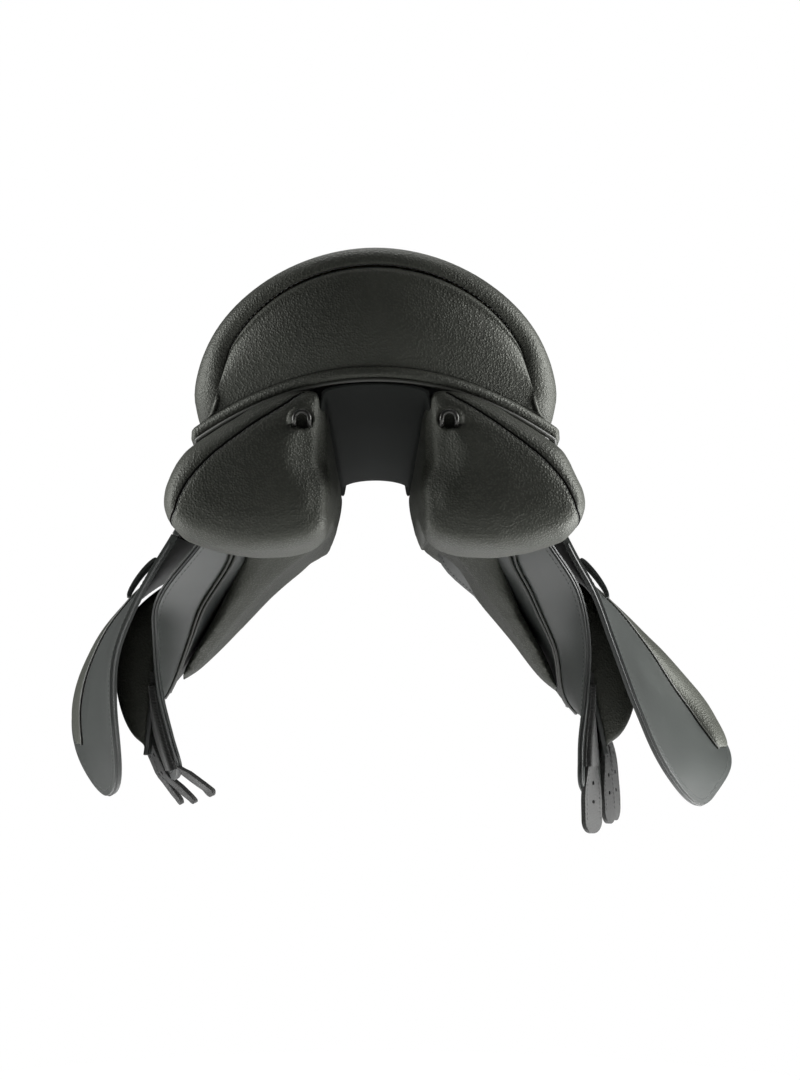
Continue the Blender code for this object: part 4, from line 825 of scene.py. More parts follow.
def stitches(name, path, ups, body, scale=1.0):
    """A row of sewn stitches along a path of points, each lying on the surface."""
    sewing = bpy.context.scene.saddle_sewing
    radius = sewing.diameter * scale / 2
    pitch = sewing.pitch * scale
    half = sewing.stitch * scale / 2
    points = [Vector(point) for point in path]
    lengths = [0.0]
    for a, b in zip(points, points[1:]):
        lengths.append(lengths[-1] + (b - a).length)
    verts, faces = [], []
    at, i = pitch / 2, 0
    while at < lengths[-1]:
        while lengths[i + 1] < at:
            i += 1
        share = (at - lengths[i]) / max(lengths[i + 1] - lengths[i], 1e-9)
        middle = points[i].lerp(points[i + 1], share)
        up = Vector(ups[i]).lerp(Vector(ups[i + 1]), share).normalized()
        run = (points[i + 1] - points[i]).normalized()
        beside = up.cross(run).normalized()
        shape = len(STITCH_PROFILE), STITCH_SIDES, len(verts)
        faces += bands(*shape) + caps(*shape)
        for along, wide, lift in STITCH_PROFILE:
            centre = middle + run * along * half + up * (lift - STITCH_SINK) * radius
            verts += circle(centre, beside, up, radius * wide, STITCH_SIDES)
        at += pitch
    mesh = bpy.data.meshes.new(name)
    mesh.from_pydata([tuple(vert) for vert in verts], [], faces)
    mesh.shade_smooth()
    obj = put(name, mesh)
    coat(obj, "thread")
    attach(obj, body)
    return obj


def tree_of(obj):
    """A search tree over the object's faces."""
    bm = bmesh.new()
    bm.from_mesh(obj.data)
    made = BVHTree.FromBMesh(bm)
    bm.free()
    return made


def laid_on(tree, points, out=0.0):
    """The points moved to the nearest place of a surface, with the surface's directions there."""
    places, ups = [], []
    for point in points:
        spot, normal, _, _ = tree.find_nearest(Vector(point))
        places.append(spot + normal * out)
        ups.append(normal)
    return places, ups


def groove(obj, path, depth, width):
    """Presses a valley into the mesh along a path."""
    spots = KDTree(len(path))
    for k, point in enumerate(path):
        spots.insert(point, k)
    spots.balance()
    moves = []
    for vert in obj.data.vertices:
        _, _, far = spots.find(vert.co)
        if far < 3 * width:
            moves.append((vert.index, vert.normal * (-depth * bell(far, 0.0, width))))
    for index, move in moves:
        obj.data.vertices[index].co += move
    obj.data.update()


def sight(column, row):
    """Direction from the camera through a pixel of the photograph."""
    ahead = Vector((0.0, math.cos(CAMERA_PITCH), math.sin(CAMERA_PITCH)))
    up = Vector((0.0, -math.sin(CAMERA_PITCH), math.cos(CAMERA_PITCH)))
    return (ahead + Vector((1, 0, 0)) * ((column - AXIS_COLUMN) / FOCAL)
            + up * ((PHOTO[1] / 2 - row) / FOCAL)).normalized()


def stuffed(name, node):
    """A padded piece in its node's form: a slack cover that is filled by pressure and held near the node."""
    padding = bpy.context.scene.saddle_padding
    mesh = NODES[node].data.copy()
    bm = bmesh.new()
    bm.from_mesh(mesh)
    bmesh.ops.remove_doubles(bm, verts=bm.verts, dist=0.00001)
    bmesh.ops.recalc_face_normals(bm, faces=bm.faces)
    held = BVHTree.FromBMesh(bm)
    for vert in bm.verts:
        vert.co -= vert.normal * padding.slack
    bm.to_mesh(mesh)
    bm.free()
    obj = put(name, mesh)
    remesh = obj.modifiers.new("Cover", "REMESH")
    remesh.mode = "VOXEL"
    remesh.voxel_size = padding.voxel
    ease = obj.modifiers.new("Ease", "SMOOTH")
    ease.factor = 0.5
    ease.iterations = 3
    settle(obj)
    start = [vert.co.copy() for vert in obj.data.vertices]
    filled = fill(obj, padding.pressure)
    moves = [after - before for before, after in zip(start, filled)]
    moves = [move * min(1.0, padding.travel / max(move.length, 1e-9)) for move in moves]
    for vert, before, move in zip(obj.data.vertices, start, evened(obj.data, moves, 14)):
        vert.co = before + move
    hold(obj, held, COVER_PROUD)
    places = evened(obj.data, [vert.co.copy() for vert in obj.data.vertices], 3)
    for vert, place in zip(obj.data.vertices, places):
        vert.co = place
    return refined(obj)


def evened(mesh, vectors, times):
    """The vectors at a mesh's points, averaged several times with those of their neighbours."""
    edges = np.array([edge.vertices[:] for edge in mesh.edges])
    values = np.array([tuple(vector) for vector in vectors])
    count = np.bincount(edges.ravel(), minlength=len(values)).reshape(-1, 1)
    for _ in range(times):
        total = np.zeros_like(values)
        np.add.at(total, edges[:, 0], values[edges[:, 1]])
        np.add.at(total, edges[:, 1], values[edges[:, 0]])
        values = 0.5 * values + 0.5 * total / np.maximum(count, 1)
    return [Vector(value) for value in values]


def fill(obj, pressure):
    """Where the cover's points lie after some frames of Cloth under pressure."""
    frames = 20
    cloth = obj.modifiers.new("Filling", "CLOTH")
    cloth.settings.use_pressure = True
    cloth.settings.uniform_pressure_force = pressure
    cloth.settings.effector_weights.gravity = 0.0
    cloth.settings.quality = 4
    cloth.point_cache.frame_start = 1
    cloth.point_cache.frame_end = frames
    scene = bpy.context.scene
    for step in range(1, frames + 1):
        scene.frame_set(step)
    graph = bpy.context.evaluated_depsgraph_get()
    moved = obj.evaluated_get(graph).to_mesh()
    places = [vert.co.copy() for vert in moved.vertices]
    obj.evaluated_get(graph).to_mesh_clear()
    obj.modifiers.remove(cloth)
    scene.frame_set(1)
    return places


def hold(obj, held, proud):
    """Keeps each point of the mesh no further out of the held form than a small distance."""
    for vert in obj.data.vertices:
        spot, normal, _, far = held.find_nearest(vert.co)
        if far > proud and (vert.co - spot).dot(normal) > 0:
            vert.co = spot + (vert.co - spot).normalized() * proud
    obj.data.update()


# The seat's form


def rim_knots():
    """Points of the rim's middle line, from the top of the cantle round the right side to the pommel."""
    half = CANTLE_WIDTH / 2 - ROLL
    top = CANTLE_HEIGHT - ROLL
    back = -SEAT_BACK + ROLL
    front = SEAT_FRONT - ROLL
    head = HEAD_WIDTH / 2 - ROLL
    waist = WAIST_WIDTH / 2 - ROLL
    crest = POMMEL_HEIGHT - ROLL
    low = WAIST_HEIGHT
    side = CANTLE_SIDE_HEIGHT
    knots = []
    for step in range(CANTLE_STEPS + 1):
        turn = math.pi / 2 * step / CANTLE_STEPS
        knots.append((half * math.sin(turn) ** CANTLE_SQUARENESS, back + CANTLE_SWEEP * (1 - math.cos(turn)),
                      side + (top - side) * max(math.cos(turn), 0.0) ** CANTLE_SQUARENESS))
    return knots + [
        (half * 0.965, -0.138, low + 0.40 * (side - low)),
        (half * 0.86, -0.095, low + 0.12 * (side - low)),
        (waist + 0.50 * (half - waist), -0.045, low),
        (waist + 0.22 * (half - waist), 0.005, low),
        (waist + 0.06 * (half - waist), 0.050, low + 0.002),
        (waist, 0.092, low + 0.04 * (crest - low)),
        (head + 0.70 * (waist - head), 0.130, low + 0.15 * (crest - low)),
        (head + 0.10 * (waist - head), 0.162, low + 0.35 * (crest - low)),
        (head * 0.80, front - 0.020, low + 0.63 * (crest - low)),
        (head * 0.45, front - 0.006, low + 0.90 * (crest - low)),
        (0.0, front, crest),
    ]


RIM_KNOTS = [Vector(knot) for knot in rim_knots()]
LAST_COLUMN = len(RIM_KNOTS) - 1


def rim_point(column):
    """The rim's middle line at a column, which may lie between two knots."""
    k = min(int(column), LAST_COLUMN - 1)

    def knot(i):
        if i < 0 or i > LAST_COLUMN:
            inside = RIM_KNOTS[1 if i < 0 else -2]
            return Vector((-inside.x, inside.y, inside.z))
        return RIM_KNOTS[i]

    a, b, c, d = (knot(k + j) for j in (-1, 0, 1, 2))
    return curve(a, b, c, d, column - k)


def spine(place):
    """The seat's middle line at this y."""
    if place > SEAT_LOW_PLACE:
        rise = POMMEL_HEIGHT - CREST_FALL - SEAT_LOW
        share = (place - SEAT_LOW_PLACE) / (SPINE_FRONT - SEAT_LOW_PLACE)
        return Vector((0, place, SEAT_LOW + rise * share**2.1))
    return Vector((0, place, SEAT_LOW + 0.9 * (SEAT_LOW_PLACE - place) ** 2 / SEAT_BACK))


def fold_share(column):
    """How far the cover is folded over the facing's lower corner at this line of the seat."""
    return share_of(column, 5.2, 7.6) * (1.0 - share_of(column, 8.0, 9.2))


class SeatSection:
    """The seat's face along one line, from its middle (0) to the roll (1) and round the roll (2)."""

    def __init__(self, column):
        self.rim = rim_point(column)
        step = 0.01
        ahead, behind = min(column + step, LAST_COLUMN), max(column - step, 0.0)
        along = (rim_point(ahead) - rim_point(behind)).normalized()
        if column <= 0 or column >= LAST_COLUMN:
            along = Vector((1.0 if column <= 0 else -1.0, 0.0, 0.0))
        share = column / LAST_COLUMN
        self.root = spine(SPINE_BACK + (SPINE_FRONT - SPINE_BACK) * share * share * (3 - 2 * share))
        away = Vector((self.rim.x - self.root.x, self.rim.y - self.root.y, 0))
        self.out = (away - along * away.dot(along)).normalized()
        up = self.out.cross(along)
        self.up = up if up.z > 0 else -up
        self.bend = 2.2 - 0.3 * share
        self.start = math.pi / 2 + math.atan(self.bend * (self.rim.z + ROLL - self.root.z) / away.length)
        turn = math.pi / 2 * min(column / CANTLE_STEPS, 1.0)
        self.last = -math.radians(6 + 74 * math.sin(turn) ** 2)
        self.fold = fold_share(column)
        self.edge = self.round(self.start)

    def round(self, turn):
        return self.rim + (self.out * math.cos(turn) + self.up * math.sin(turn)) * ROLL

    def point(self, share):
        if share <= 1.0:
            flat = self.root.lerp(self.edge, share)
            flat.z = self.root.z + (self.edge.z - self.root.z) * share**self.bend
            return flat
        point = self.round(self.start + (self.last - self.start) * (share - 1.0))
        return point + Vector(FOLD_SHIFT) * self.fold * share_of(share, 1.3, 2.0)


def seat_rows(shares, steps=4, last=LAST_COLUMN):
    """Rings or rows of points over the seat, at these shares of each section."""
    columns = [k / steps for k in range(int(last * steps) + 1)]
    sections = [SeatSection(column) for column in columns]
    rows = []
    for share in shares:
        right = [section.point(share) for section in sections]
        left = mirrored(right)
        rows.append(right + left[-2:0:-1] if last == LAST_COLUMN else left[:0:-1] + right)
    return rows


def ups_of(rows, closed):
    """Directions out of a grid of points, upwards on the whole."""
    made = []
    count = len(rows[0])
    for r, row in enumerate(rows):
        before, after = rows[max(r - 1, 0)], rows[min(r + 1, len(rows) - 1)]
        line = []
        for k in range(count):
            if closed:
                along = row[(k + 1) % count] - row[(k - 1) % count]
            else:
                along = row[min(k + 1, count - 1)] - row[max(k - 1, 0)]
            up = (after[k] - before[k]).cross(along)
            line.append(up.normalized() if up.length > 1e-12 else Vector((0, 0, 1)))
        made.append(line)
    return made


def moved(rows, ups, depth):
    """The grid moved along its directions by a depth, or by depth(row, column)."""
    size = depth if callable(depth) else lambda r, k: depth
    return [
        [point + up * size(r, k) for k, (point, up) in enumerate(zip(row, line))]
        for r, (row, line) in enumerate(zip(rows, ups))
    ]


def seat_ups(rows, closed):
    """Directions out of the seat, upright along its middle line."""
    ups = ups_of(rows, closed)
    if ups[len(ups) // 2][0].z < 0:
        ups = [[-up for up in line] for line in ups]
    if abs(rows[0][0].x) < 1e-6:
        for k in range(len(rows[0])):
            up = ups[1][k].copy()
            up.x = 0.0
            ups[0][k] = up.normalized()
    return ups


def welt_point(across, drop=0.0, behind=0.0):
    """Middle line of the welt under the cantle, at this x."""
    share = 2 * across / WELT_WIDTH
    slope = 4 * WELT_DROP * share / WELT_WIDTH
    height = WELT_HEIGHT - WELT_DROP * share**2 - drop * math.sqrt(1 + slope**2)
    return Vector((across, WELT_PLACE + WELT_SWEEP * share**2 - behind, height))


# Forms of the hanging sheets


class Drape:
    """The horse's side of a hanging sheet: how far out it lies at each y and height."""

    def __init__(self, side, levels):
        self.sign = SIGN[side]
        self.places = [(height, place) for height, place, _ in levels]
        self.slopes = [(height, slope) for height, _, slope in levels]

    def reach(self, y, z):
        return cubic(self.places, z) + y * cubic(self.slopes, z)

    def normal(self, y, z):
        step = 0.002
        along = (self.reach(y + step, z) - self.reach(y - step, z)) / (2 * step)
        fall = (self.reach(y, z + step) - self.reach(y, z - step)) / (2 * step)
        return Vector((1.0, -along, -fall)).normalized()

    def up(self, y, z):
        made = self.normal(y, z)
        made.x *= self.sign
        return made

    def point(self, y, z, out=0.0):
        face = Vector((self.reach(y, z), y, z)) + self.normal(y, z) * out
        face.x *= self.sign
        return face


SWEAT = {side: Drape(side, levels) for side, levels in SWEAT_LEVELS.items()}
FLAP = {side: Drape(side, levels) for side, levels in FLAP_LEVELS.items()}


def rim_beside(y):
    """The rim's middle line beside the seat, at this y."""
    knots = RIM_KNOTS[CANTLE_STEPS:]
    return Vector((cubic([(p.y, p.x) for p in knots], y), y, cubic([(p.y, p.z) for p in knots], y)))


class Shoulder:
    """The horse's side of the flap's top, between the rim and the flap's hinge."""

    def __init__(self, side):
        self.sign = SIGN[side]
        self.flap = FLAP[side]

    def face(self, y, share):
        rim = rim_beside(y)
        top = Vector((rim.x, y, rim.z - ROLL - SHOULDER_DROP))
        slot = LIE + FOLD_SLOT * min(max((y - FLAP_BACK) / (FLAP_TOP_FRONT - FLAP_BACK), 0.0), 1.0)
        low = Vector((self.flap.reach(y, FLAP_HINGE_HEIGHT), y, FLAP_HINGE_HEIGHT + slot))
        across = (low - top).cross(Vector((0, -1, 0))).normalized()
        across = across if across.x > 0 else -across
        return top.lerp(low, share) + across * SHOULDER_BOW * math.sin(math.pi * share)

    def normal(self, y, share):
        step = 0.003
        along = self.face(y + step, share) - self.face(y - step, share)
        down = self.face(y, share + step) - self.face(y, share - step)
        made = along.cross(down).normalized()
        return made if made.x > 0 else -made

    def point(self, y, share, out=0.0):
        made = self.face(y, share) + self.normal(y, share) * out
        made.x *= self.sign
        return made

    def up(self, y, share):
        made = self.normal(y, share)
        made.x *= self.sign
        return made


SHOULDER = {side: Shoulder(side) for side in SIGN}


class Outline:
    """A hanging sheet's edges: its back and front at each share of its depth, round at the tip."""

    ROUNDING = 0.58

    def __init__(self, outline, top, tip):
        ends = 0.5 * (outline[-1][1] + outline[-1][2])
        rows = [row for row in outline if row[0] < 1.0]
        self.backs = [((1.0 - share) ** self.ROUNDING, back) for share, back, _ in rows] + [(0.0, ends)]
        self.fronts = [((1.0 - share) ** self.ROUNDING, front) for share, _, front in rows] + [(0.0, ends)]
        self.top = top
        self.tip = tip

    def height(self, share):
        return self.top + (self.tip - self.top) * share

    def edges(self, share):
        up = max(1.0 - share, 0.0) ** self.ROUNDING
        return cubic(self.backs, up), max(cubic(self.fronts, up), cubic(self.backs, up) + 0.0005)

    def shares(self, rows):
        """Shares of the depth for a grid's rows, closer together round the tip."""
        return [math.sin(math.pi / 2 * k / rows) for k in range(rows + 1)]

    def line(self, inset, start=0.03, count=60):
        """The (y, z) of a line inside the edge: down the back, round the tip and up the front."""
        shares = [start + (1 - start) * math.sin(math.pi / 2 * k / count) for k in range(count + 1)]
        backs = [(self.edges(share)[0], self.height(share)) for share in shares]
        fronts = [(self.edges(share)[1], self.height(share)) for share in shares]
        whole = np.array(backs + fronts[::-1])
        keep = [0]
        for k in range(1, len(whole)):
            if np.linalg.norm(whole[k] - whole[keep[-1]]) > 0.0015:
                keep.append(k)
        whole = whole[keep]
        run = np.gradient(whole, axis=0)
        run /= np.linalg.norm(run, axis=1)[:, None]
        inside = np.stack([-run[:, 1], run[:, 0]], 1)
        return [tuple(pair) for pair in whole + inside * inset]


SWEAT_EDGE = {side: Outline(SWEAT_OUTLINE, SWEAT_TOP, SWEAT_TIP[side]) for side in SIGN}
FLAP_EDGE = {side: Outline(FLAP_OUTLINE[side], FLAP_HINGE_HEIGHT, FLAP_TIP[side]) for side in SIGN}


def drape_rows(drape, outline, rows, columns, out):
    """A hanging sheet's grid of points, at a height over its horse's side."""
    made = []
    for share in outline.shares(rows):
        z = outline.height(share)
        back, front = outline.edges(share)
        made.append([drape.point(back + (front - back) * k / columns, z, out) for k in range(columns + 1)])
    return made


def drape_seam(name, drape, pairs, out, body):
    """Stitches along (y, z) pairs on a hanging sheet's face. A negative height is its horse's side."""
    sign = 1.0 if out > 0 else -1.0
    path = [drape.point(y, z, out) for y, z in pairs]
    ups = [drape.up(y, z) * sign for y, z in pairs]
    return stitches(name, path, ups, body)


# Operators


class SADDLE_OT_seat(bpy.types.Operator):
    """Stretches the cover over the foam, webbing and tree."""

    bl_idname = "saddle.seat"
    bl_label = "Seat"

    def execute(self, context):
        seam = SEAT_SEAM
        shares = [0.0, 0.05] + [0.1 * k for k in range(1, 8)]
        shares += [seam + step for step in (-0.05, -0.03, -0.015, -0.006, 0.0, 0.006, 0.015, 0.03, 0.06,
                                            0.10, 0.15)]
        shares.append(1.0)
        seat_count = len(shares)
        shares += [1.0 + k / 12 for k in range(1, 12)] + [1.955, 1.985, 2.0]
        rows = seat_rows(shares)
        ups = seat_ups(rows, True)

        def fullness(column):
            rim = rows[-1][column]
            across = abs(rim.x) / (CANTLE_WIDTH / 2)
            if rim.y > 0:
                return 0.0014
            return 0.0003 + 0.0030 * bell(across, 0.0, 0.60) + 0.0054 * share_of(across, 0.84, 1.0)

        def puff(row, column):
            share = shares[row]
            if row < seat_count:
                lift = 0.0012 * math.sin(math.pi * min(share / seam, 1.0)) if share < seam else 0.0
                return lift - 0.0016 * bell(share, seam, 0.010)
            tuck = min(max((share - 1.95) / 0.05, 0.0), 1.0)
            swell = math.sin(math.pi * min(share - 1.0, 0.93)) ** 0.5
            return fullness(column) * swell * (1 - tuck) - 0.0004 * tuck * tuck

        outer = moved(rows, ups, puff)
        inner = moved(rows, ups, lambda r, k: -COVER_WALL - 0.0006)
        cover = slab("seat_cover_leather", outer, inner, closed=True, edge=0.0006)
        dress(cover, "grained", "grained_leather", "seat_cover")
        place = shares.index(seam)
        for offset, tag in ((0.011, "outer"), (-0.011, "inner")):
            line = seat_rows([seam + offset])[0]
            near = ups[place]
            path = [point + up * 0.0002 for point, up in zip(line, near)]
            stitches(f"seat_seam_{tag}", path + path[:1], near + near[:1], BODY)
        for node, (top, under, first, last, column, slot, finish) in SEAT_LAYERS.items():
            spots = [first + (last - first) * k / 12 for k in range(13)]
            grid = seat_rows(spots, 2, column)
            closed = column == LAST_COLUMN
            lifts = seat_ups(grid, closed)
            piece = slab(f"{node}_piece", moved(grid, lifts, -top), moved(grid, lifts, -under), closed,
                         0.0006)
            dress(piece, finish, slot, node)
        coat(NODES["head_plate"], "steel")
        return {"FINISHED"}


class SADDLE_OT_cantle(bpy.types.Operator):
    """Closes the cantle with its facing, sews it to the cover and lays the welt and piping."""

    bl_idname = "saddle.cantle"
    bl_label = "Cantle"

    def execute(self, context):
        steps = 6
        shares = [0.0, 0.02, 0.045, 0.075, 0.11] + [0.15 + 0.085 * k for k in range(11)]
        sections = [SeatSection(k / steps) for k in range(CANTLE_STEPS * steps + 1)]
        rows = [[] for _ in shares]
        for k, section in enumerate(sections):
            seam = section.point(2.0)
            turn = math.pi / 2 * k / (len(sections) - 1)
            across = WELT_WIDTH / 2 * math.sin(turn) * (1.0 - 0.060 * fold_share(k / steps))
            foot = welt_point(across, -(WELT_DIAMETER / 2 + 2 * LIE))
            top = seam + (foot - seam).normalized() * 4 * LIE
            for row, share in enumerate(shares):
                lip = 0.0016 * bell(share, 0.06, 0.035) - 0.0022 * math.exp(-share / 0.015)
                point = top.lerp(foot, share)
                point.y -= 3 * LIE + FACING_CROWN * math.sin(math.pi * share) + lip
                rows[row].append(point)
        outer = [mirrored(row[:0:-1]) + row for row in rows]
        inner = [[point + Vector((0, FACING_WALL, 0)) for point in row] for row in outer]
        facing = slab("cantle_facing_leather", outer, inner, edge=0.0006)
        dress(facing, "grained", "grained_leather", "cantle_facing")
        line = [section.point(2.0) - Vector((0, 0.0005, 0)) for section in sections]
        ups = [Vector((section.out.x * 0.4, -1.0, 0.0)).normalized() for section in sections]
        line, ups = (mirrored(half[::-1]) + half[1:] for half in (line, ups))
        stitches("cantle_seam_thread", line, ups, BODY, scale=1.1)
        reach = WELT_WIDTH / 2
        spots = [reach * math.sin(math.pi / 2 * k / 48) for k in range(-48, 49)]
        line = self.wrapped([welt_point(x) for x in spots])
        welt = tube("cantle_welt_leather", line,
                    lambda share: WELT_DIAMETER / 2 + 0.0007 * math.sin(math.pi * share), 16)
        dress(welt, "grained", "grained_leather", "cantle_welt")
        below = (WELT_DIAMETER + PIPING_DIAMETER) / 2 - LIE
        line = self.wrapped([welt_point(x, below, 0.0006) for x in spots])
        piping = tube("cantle_piping_leather", line, PIPING_DIAMETER / 2 + 0.0002, 12)
        dress(piping, "piping", "smooth_leather", "cantle_piping")
        return {"FINISHED"}

    def wrapped(self, line):
        """The line led on round both sides of the cantle, out of sight."""
        turns = ((0.0012, 0.010, -0.0045), (0.0005, 0.020, -0.0075), (-0.0015, 0.032, -0.0095))
        ends = []
        for end, sign in ((line[0], -1.0), (line[-1], 1.0)):
            ends.append([end + Vector((sign * x, y, z)) for x, y, z in turns])
        return ends[0][::-1] + line + ends[1]


class SADDLE_OT_pommel(bpy.types.Operator):
    """Closes the pommel's front."""

    bl_idname = "saddle.pommel"
    bl_label = "Pommel"

    def execute(self, context):
        steps = 5
        columns = [LAST_COLUMN - 3 + k / steps for k in range(3 * steps + 1)]
        shares = [0.0, 0.03, 0.07] + [0.12 + 0.11 * k for k in range(9)]
        rows = [[] for _ in shares]
        half = HEAD_WIDTH / 2 - ROLL / 2
        crown = GULLET_FRONT_HEIGHT + 4 * LIE + 0.008
        foot_height = WAIST_HEIGHT - 0.004
        for column in columns:
            seam = SeatSection(column).point(2.0)
            turn = math.pi / 2 * (LAST_COLUMN - column) / 3
            foot = Vector((half * math.sin(turn), SEAT_FRONT - 0.007 - 0.022 * math.sin(turn) ** 2,
                           foot_height + (crown - foot_height) * math.cos(turn)))
            top = seam + (foot - seam).normalized() * 2 * LIE
            for row, share in enumerate(shares):
                point = top.lerp(foot, share)
                point.y += 0.0012 * math.sin(math.pi * share) - 0.0012 * math.exp(-share / 0.02)
                rows[row].append(point)
        whole = [row + mirrored(row[-2::-1]) for row in rows]
        outer = [[point + Vector((0, FACING_WALL, 0)) for point in row] for row in whole]
        facing = slab("pommel_facing_leather", outer, whole, edge=0.0006)
        dress(facing, "grained", "grained_leather", "pommel_facing")
        line = [point.lerp(outer[4][k], 0.5) for k, point in enumerate(outer[3])]
        stitches("pommel_thread", line, [Vector((0, 1, 0))] * len(line), BODY)
        return {"FINISHED"}


class SADDLE_OT_panels(bpy.types.Operator):
    """Fills the two panels, sews their gussets and pipes their wings."""

    bl_idname = "saddle.panels"
    bl_label = "Panels"

    def execute(self, context):
        for side, sign in SIGN.items():
            panel = stuffed(f"{side}_panel_cover", f"{side}_panel")
            self.trim(panel, side)
            tree = tree_of(panel)
            spots = [tree.ray_cast(CAMERA_PLACE, sight(*pixel))[0] for pixel in GUSSET_SEAM[side]]
            path = [spot for spot in spots if spot is not None]
            path += [Vector((sign * x, y, z)) for x, y, z in GUSSET_SIDE]
            path, _ = laid_on(tree, smooth_line(path, 10))
            self.pocket(panel, sign)
            groove(panel, path, 0.0011, 0.0026)
            path, ups = laid_on(tree_of(panel), path, 0.0001)
            dress(panel, "grained", "grained_leather", f"{side}_panel")
            # A dark cord along the seam: painted shadow of its groove
            line = [point - up * 0.0001 for point, up in zip(path, ups)]
            seam = tube(f"{side}_gusset_seam_shadow", line, 0.0010, 8)
            dress(seam, "seam", "smooth_leather", body=BODY)
            beside = self.beside(path, ups, 0.0022)
            beside, ups = laid_on(tree_of(panel), beside, 0.0001)
            stitches(f"{side}_gusset_thread", beside, ups, BODY, scale=1.05)
            self.wing_piping(side)
        return {"FINISHED"}

    def beside(self, path, ups, shift):
        """The path moved sideways along the surface."""
        made = []
        for k, (point, up) in enumerate(zip(path, ups)):
            run = path[min(k + 1, len(path) - 1)] - path[max(k - 1, 0)]
            across = run.cross(up).normalized()
            made.append(point + across * (shift if across.z < 0 else -shift))
        return made

    def trim(self, panel, side):
        """Draws the wing's underside up, lets the rear bulb swell and leads the wing to its piping."""
        sign = SIGN[side]
        lift, middle = WING_LIFT[side]
        for vert in panel.data.vertices:
            x, y, z = vert.co.x * sign, vert.co.y, vert.co.z
            under = share_of(-z, 0.0, 0.02) * share_of(y, -0.12, -0.04)
            rise = lift * under * bell(x, middle, 0.044)
            rear = share_of(-y, 0.14, 0.19)
            vert.co.x += sign * BULB_SWELL[side] * rear * share_of(x, 0.12, 0.17) ** 2 * bell(z, 0.0, 0.028)
            vert.co.x -= sign * BULB_TRIM[side] * rear * share_of(x, 0.11, 0.16) * bell(z, 0.032, 0.019)
            inner = sign * CHANNEL_TRIM * share_of(-x, -0.064, -0.042)
            vert.co.x += inner * bell(z, -0.003, 0.022)
            vert.co.x += inner * share_of(y, 0.04, 0.14) * bell(z, 0.032, 0.024)
            top = share_of(z, 0.062, 0.090) * bell(x, 0.070, 0.036)
            vert.co.z += rise + BULB_CROWN * rear * top
            stretch = self.stretch(side, z)
            if stretch > 0.0 and y > -0.05:
                drape = SWEAT[side]
                vert.co.x += sign * (drape.reach(y, z - stretch) - drape.reach(y, z))
                vert.co.z -= stretch
        panel.data.update()

    def stretch(self, side, z):
        """How much lower than on its frame the wing's edge hangs at this height."""
        return WING_STRETCH[side] * max(WING_STRETCH_TOP - z, 0.0)

    def pocket(self, panel, sign):
        """Sinks the hollow that a rear dee stands in, and the small pleats under it."""
        middle = Vector((sign * REAR_DEE["place"], 0.0, REAR_DEE["height"] - 0.001))
        for vert in panel.data.vertices:
            if vert.co.y > -0.19:
                continue
            across = (vert.co.x - middle.x) / DEE_POCKET["half_width"]
            up = (vert.co.z - middle.z) / DEE_POCKET["half_height"]
            far = math.hypot(across, up)
            if far < 2.2:
                vert.co.y = max(vert.co.y, DEE_POCKET["place"] + DEE_POCKET["depth"] / (1 + far**6))
            if up < -0.4 and abs(across) < 3.2:
                fan = math.atan2(across, -up)
                vert.co.y += PLEAT_DEPTH * bell(far, 2.0, 1.3) * math.cos(fan * 6.5)
        panel.data.update()

    def wing_piping(self, side):
        """Two fine cords where a panel's wing is sewn to the sweat flap."""
        drape = SWEAT[side]
        pairs = smooth_line([(y, z, 0.0) for y, z in WING_EDGE_LINE], 8)
        for tag, (shift, radius) in WING_PIPING.items():
            points = []
            for k, pair in enumerate(pairs):
                after = pairs[min(k + 1, len(pairs) - 1)]
                before = pairs[max(k - 1, 0)]
                run = (after - before).normalized()
                y = pair.x + run.y * shift
                z = pair.y - run.x * shift
                z -= self.stretch(side, z)
                points.append(drape.point(y, z, -radius * 0.75))
            cord = tube(f"{side}_wing_piping_{tag}", points, radius, 8)
            dress(cord, "piping", "smooth_leather", body=BODY)


class SADDLE_OT_gullet(bpy.types.Operator):
    """Lines the channel between the panels."""

    bl_idname = "saddle.gullet"
    bl_label = "Gullet"

    def execute(self, context):
        outer, inner = [], []
        for y in np.linspace(-0.232, 0.204, 60):
            half = cubic(CHANNEL, y) - 3 * LIE
            crown = cubic(CEILING, y)
            crown += LINING_HUMP["rise"] * bell(y, LINING_HUMP["place"], LINING_HUMP["length"])
            for rows, lift in ((outer, LINING_WALL / 2), (inner, -LINING_WALL / 2)):
                reach = half + lift
                foot = crown + lift - LINING_RISE
                wall = [Vector((-reach - LINING_FLARE * drop, y, foot - drop)) for drop in LINING_FOOT]
                row = list(wall)
                for k in range(25):
                    turn = math.pi * k / 24
                    rise = LINING_RISE * (1 - math.sin(turn))
                    row.append(Vector((-reach * math.cos(turn), y, crown + lift - rise)))
                rows.append(row + mirrored(wall[::-1]))
        lining = slab("gullet_lining_leather", outer, inner, edge=0.0005)
        dress(lining, "lining", "gullet_lining_leather", "gullet_lining")
        return {"FINISHED"}


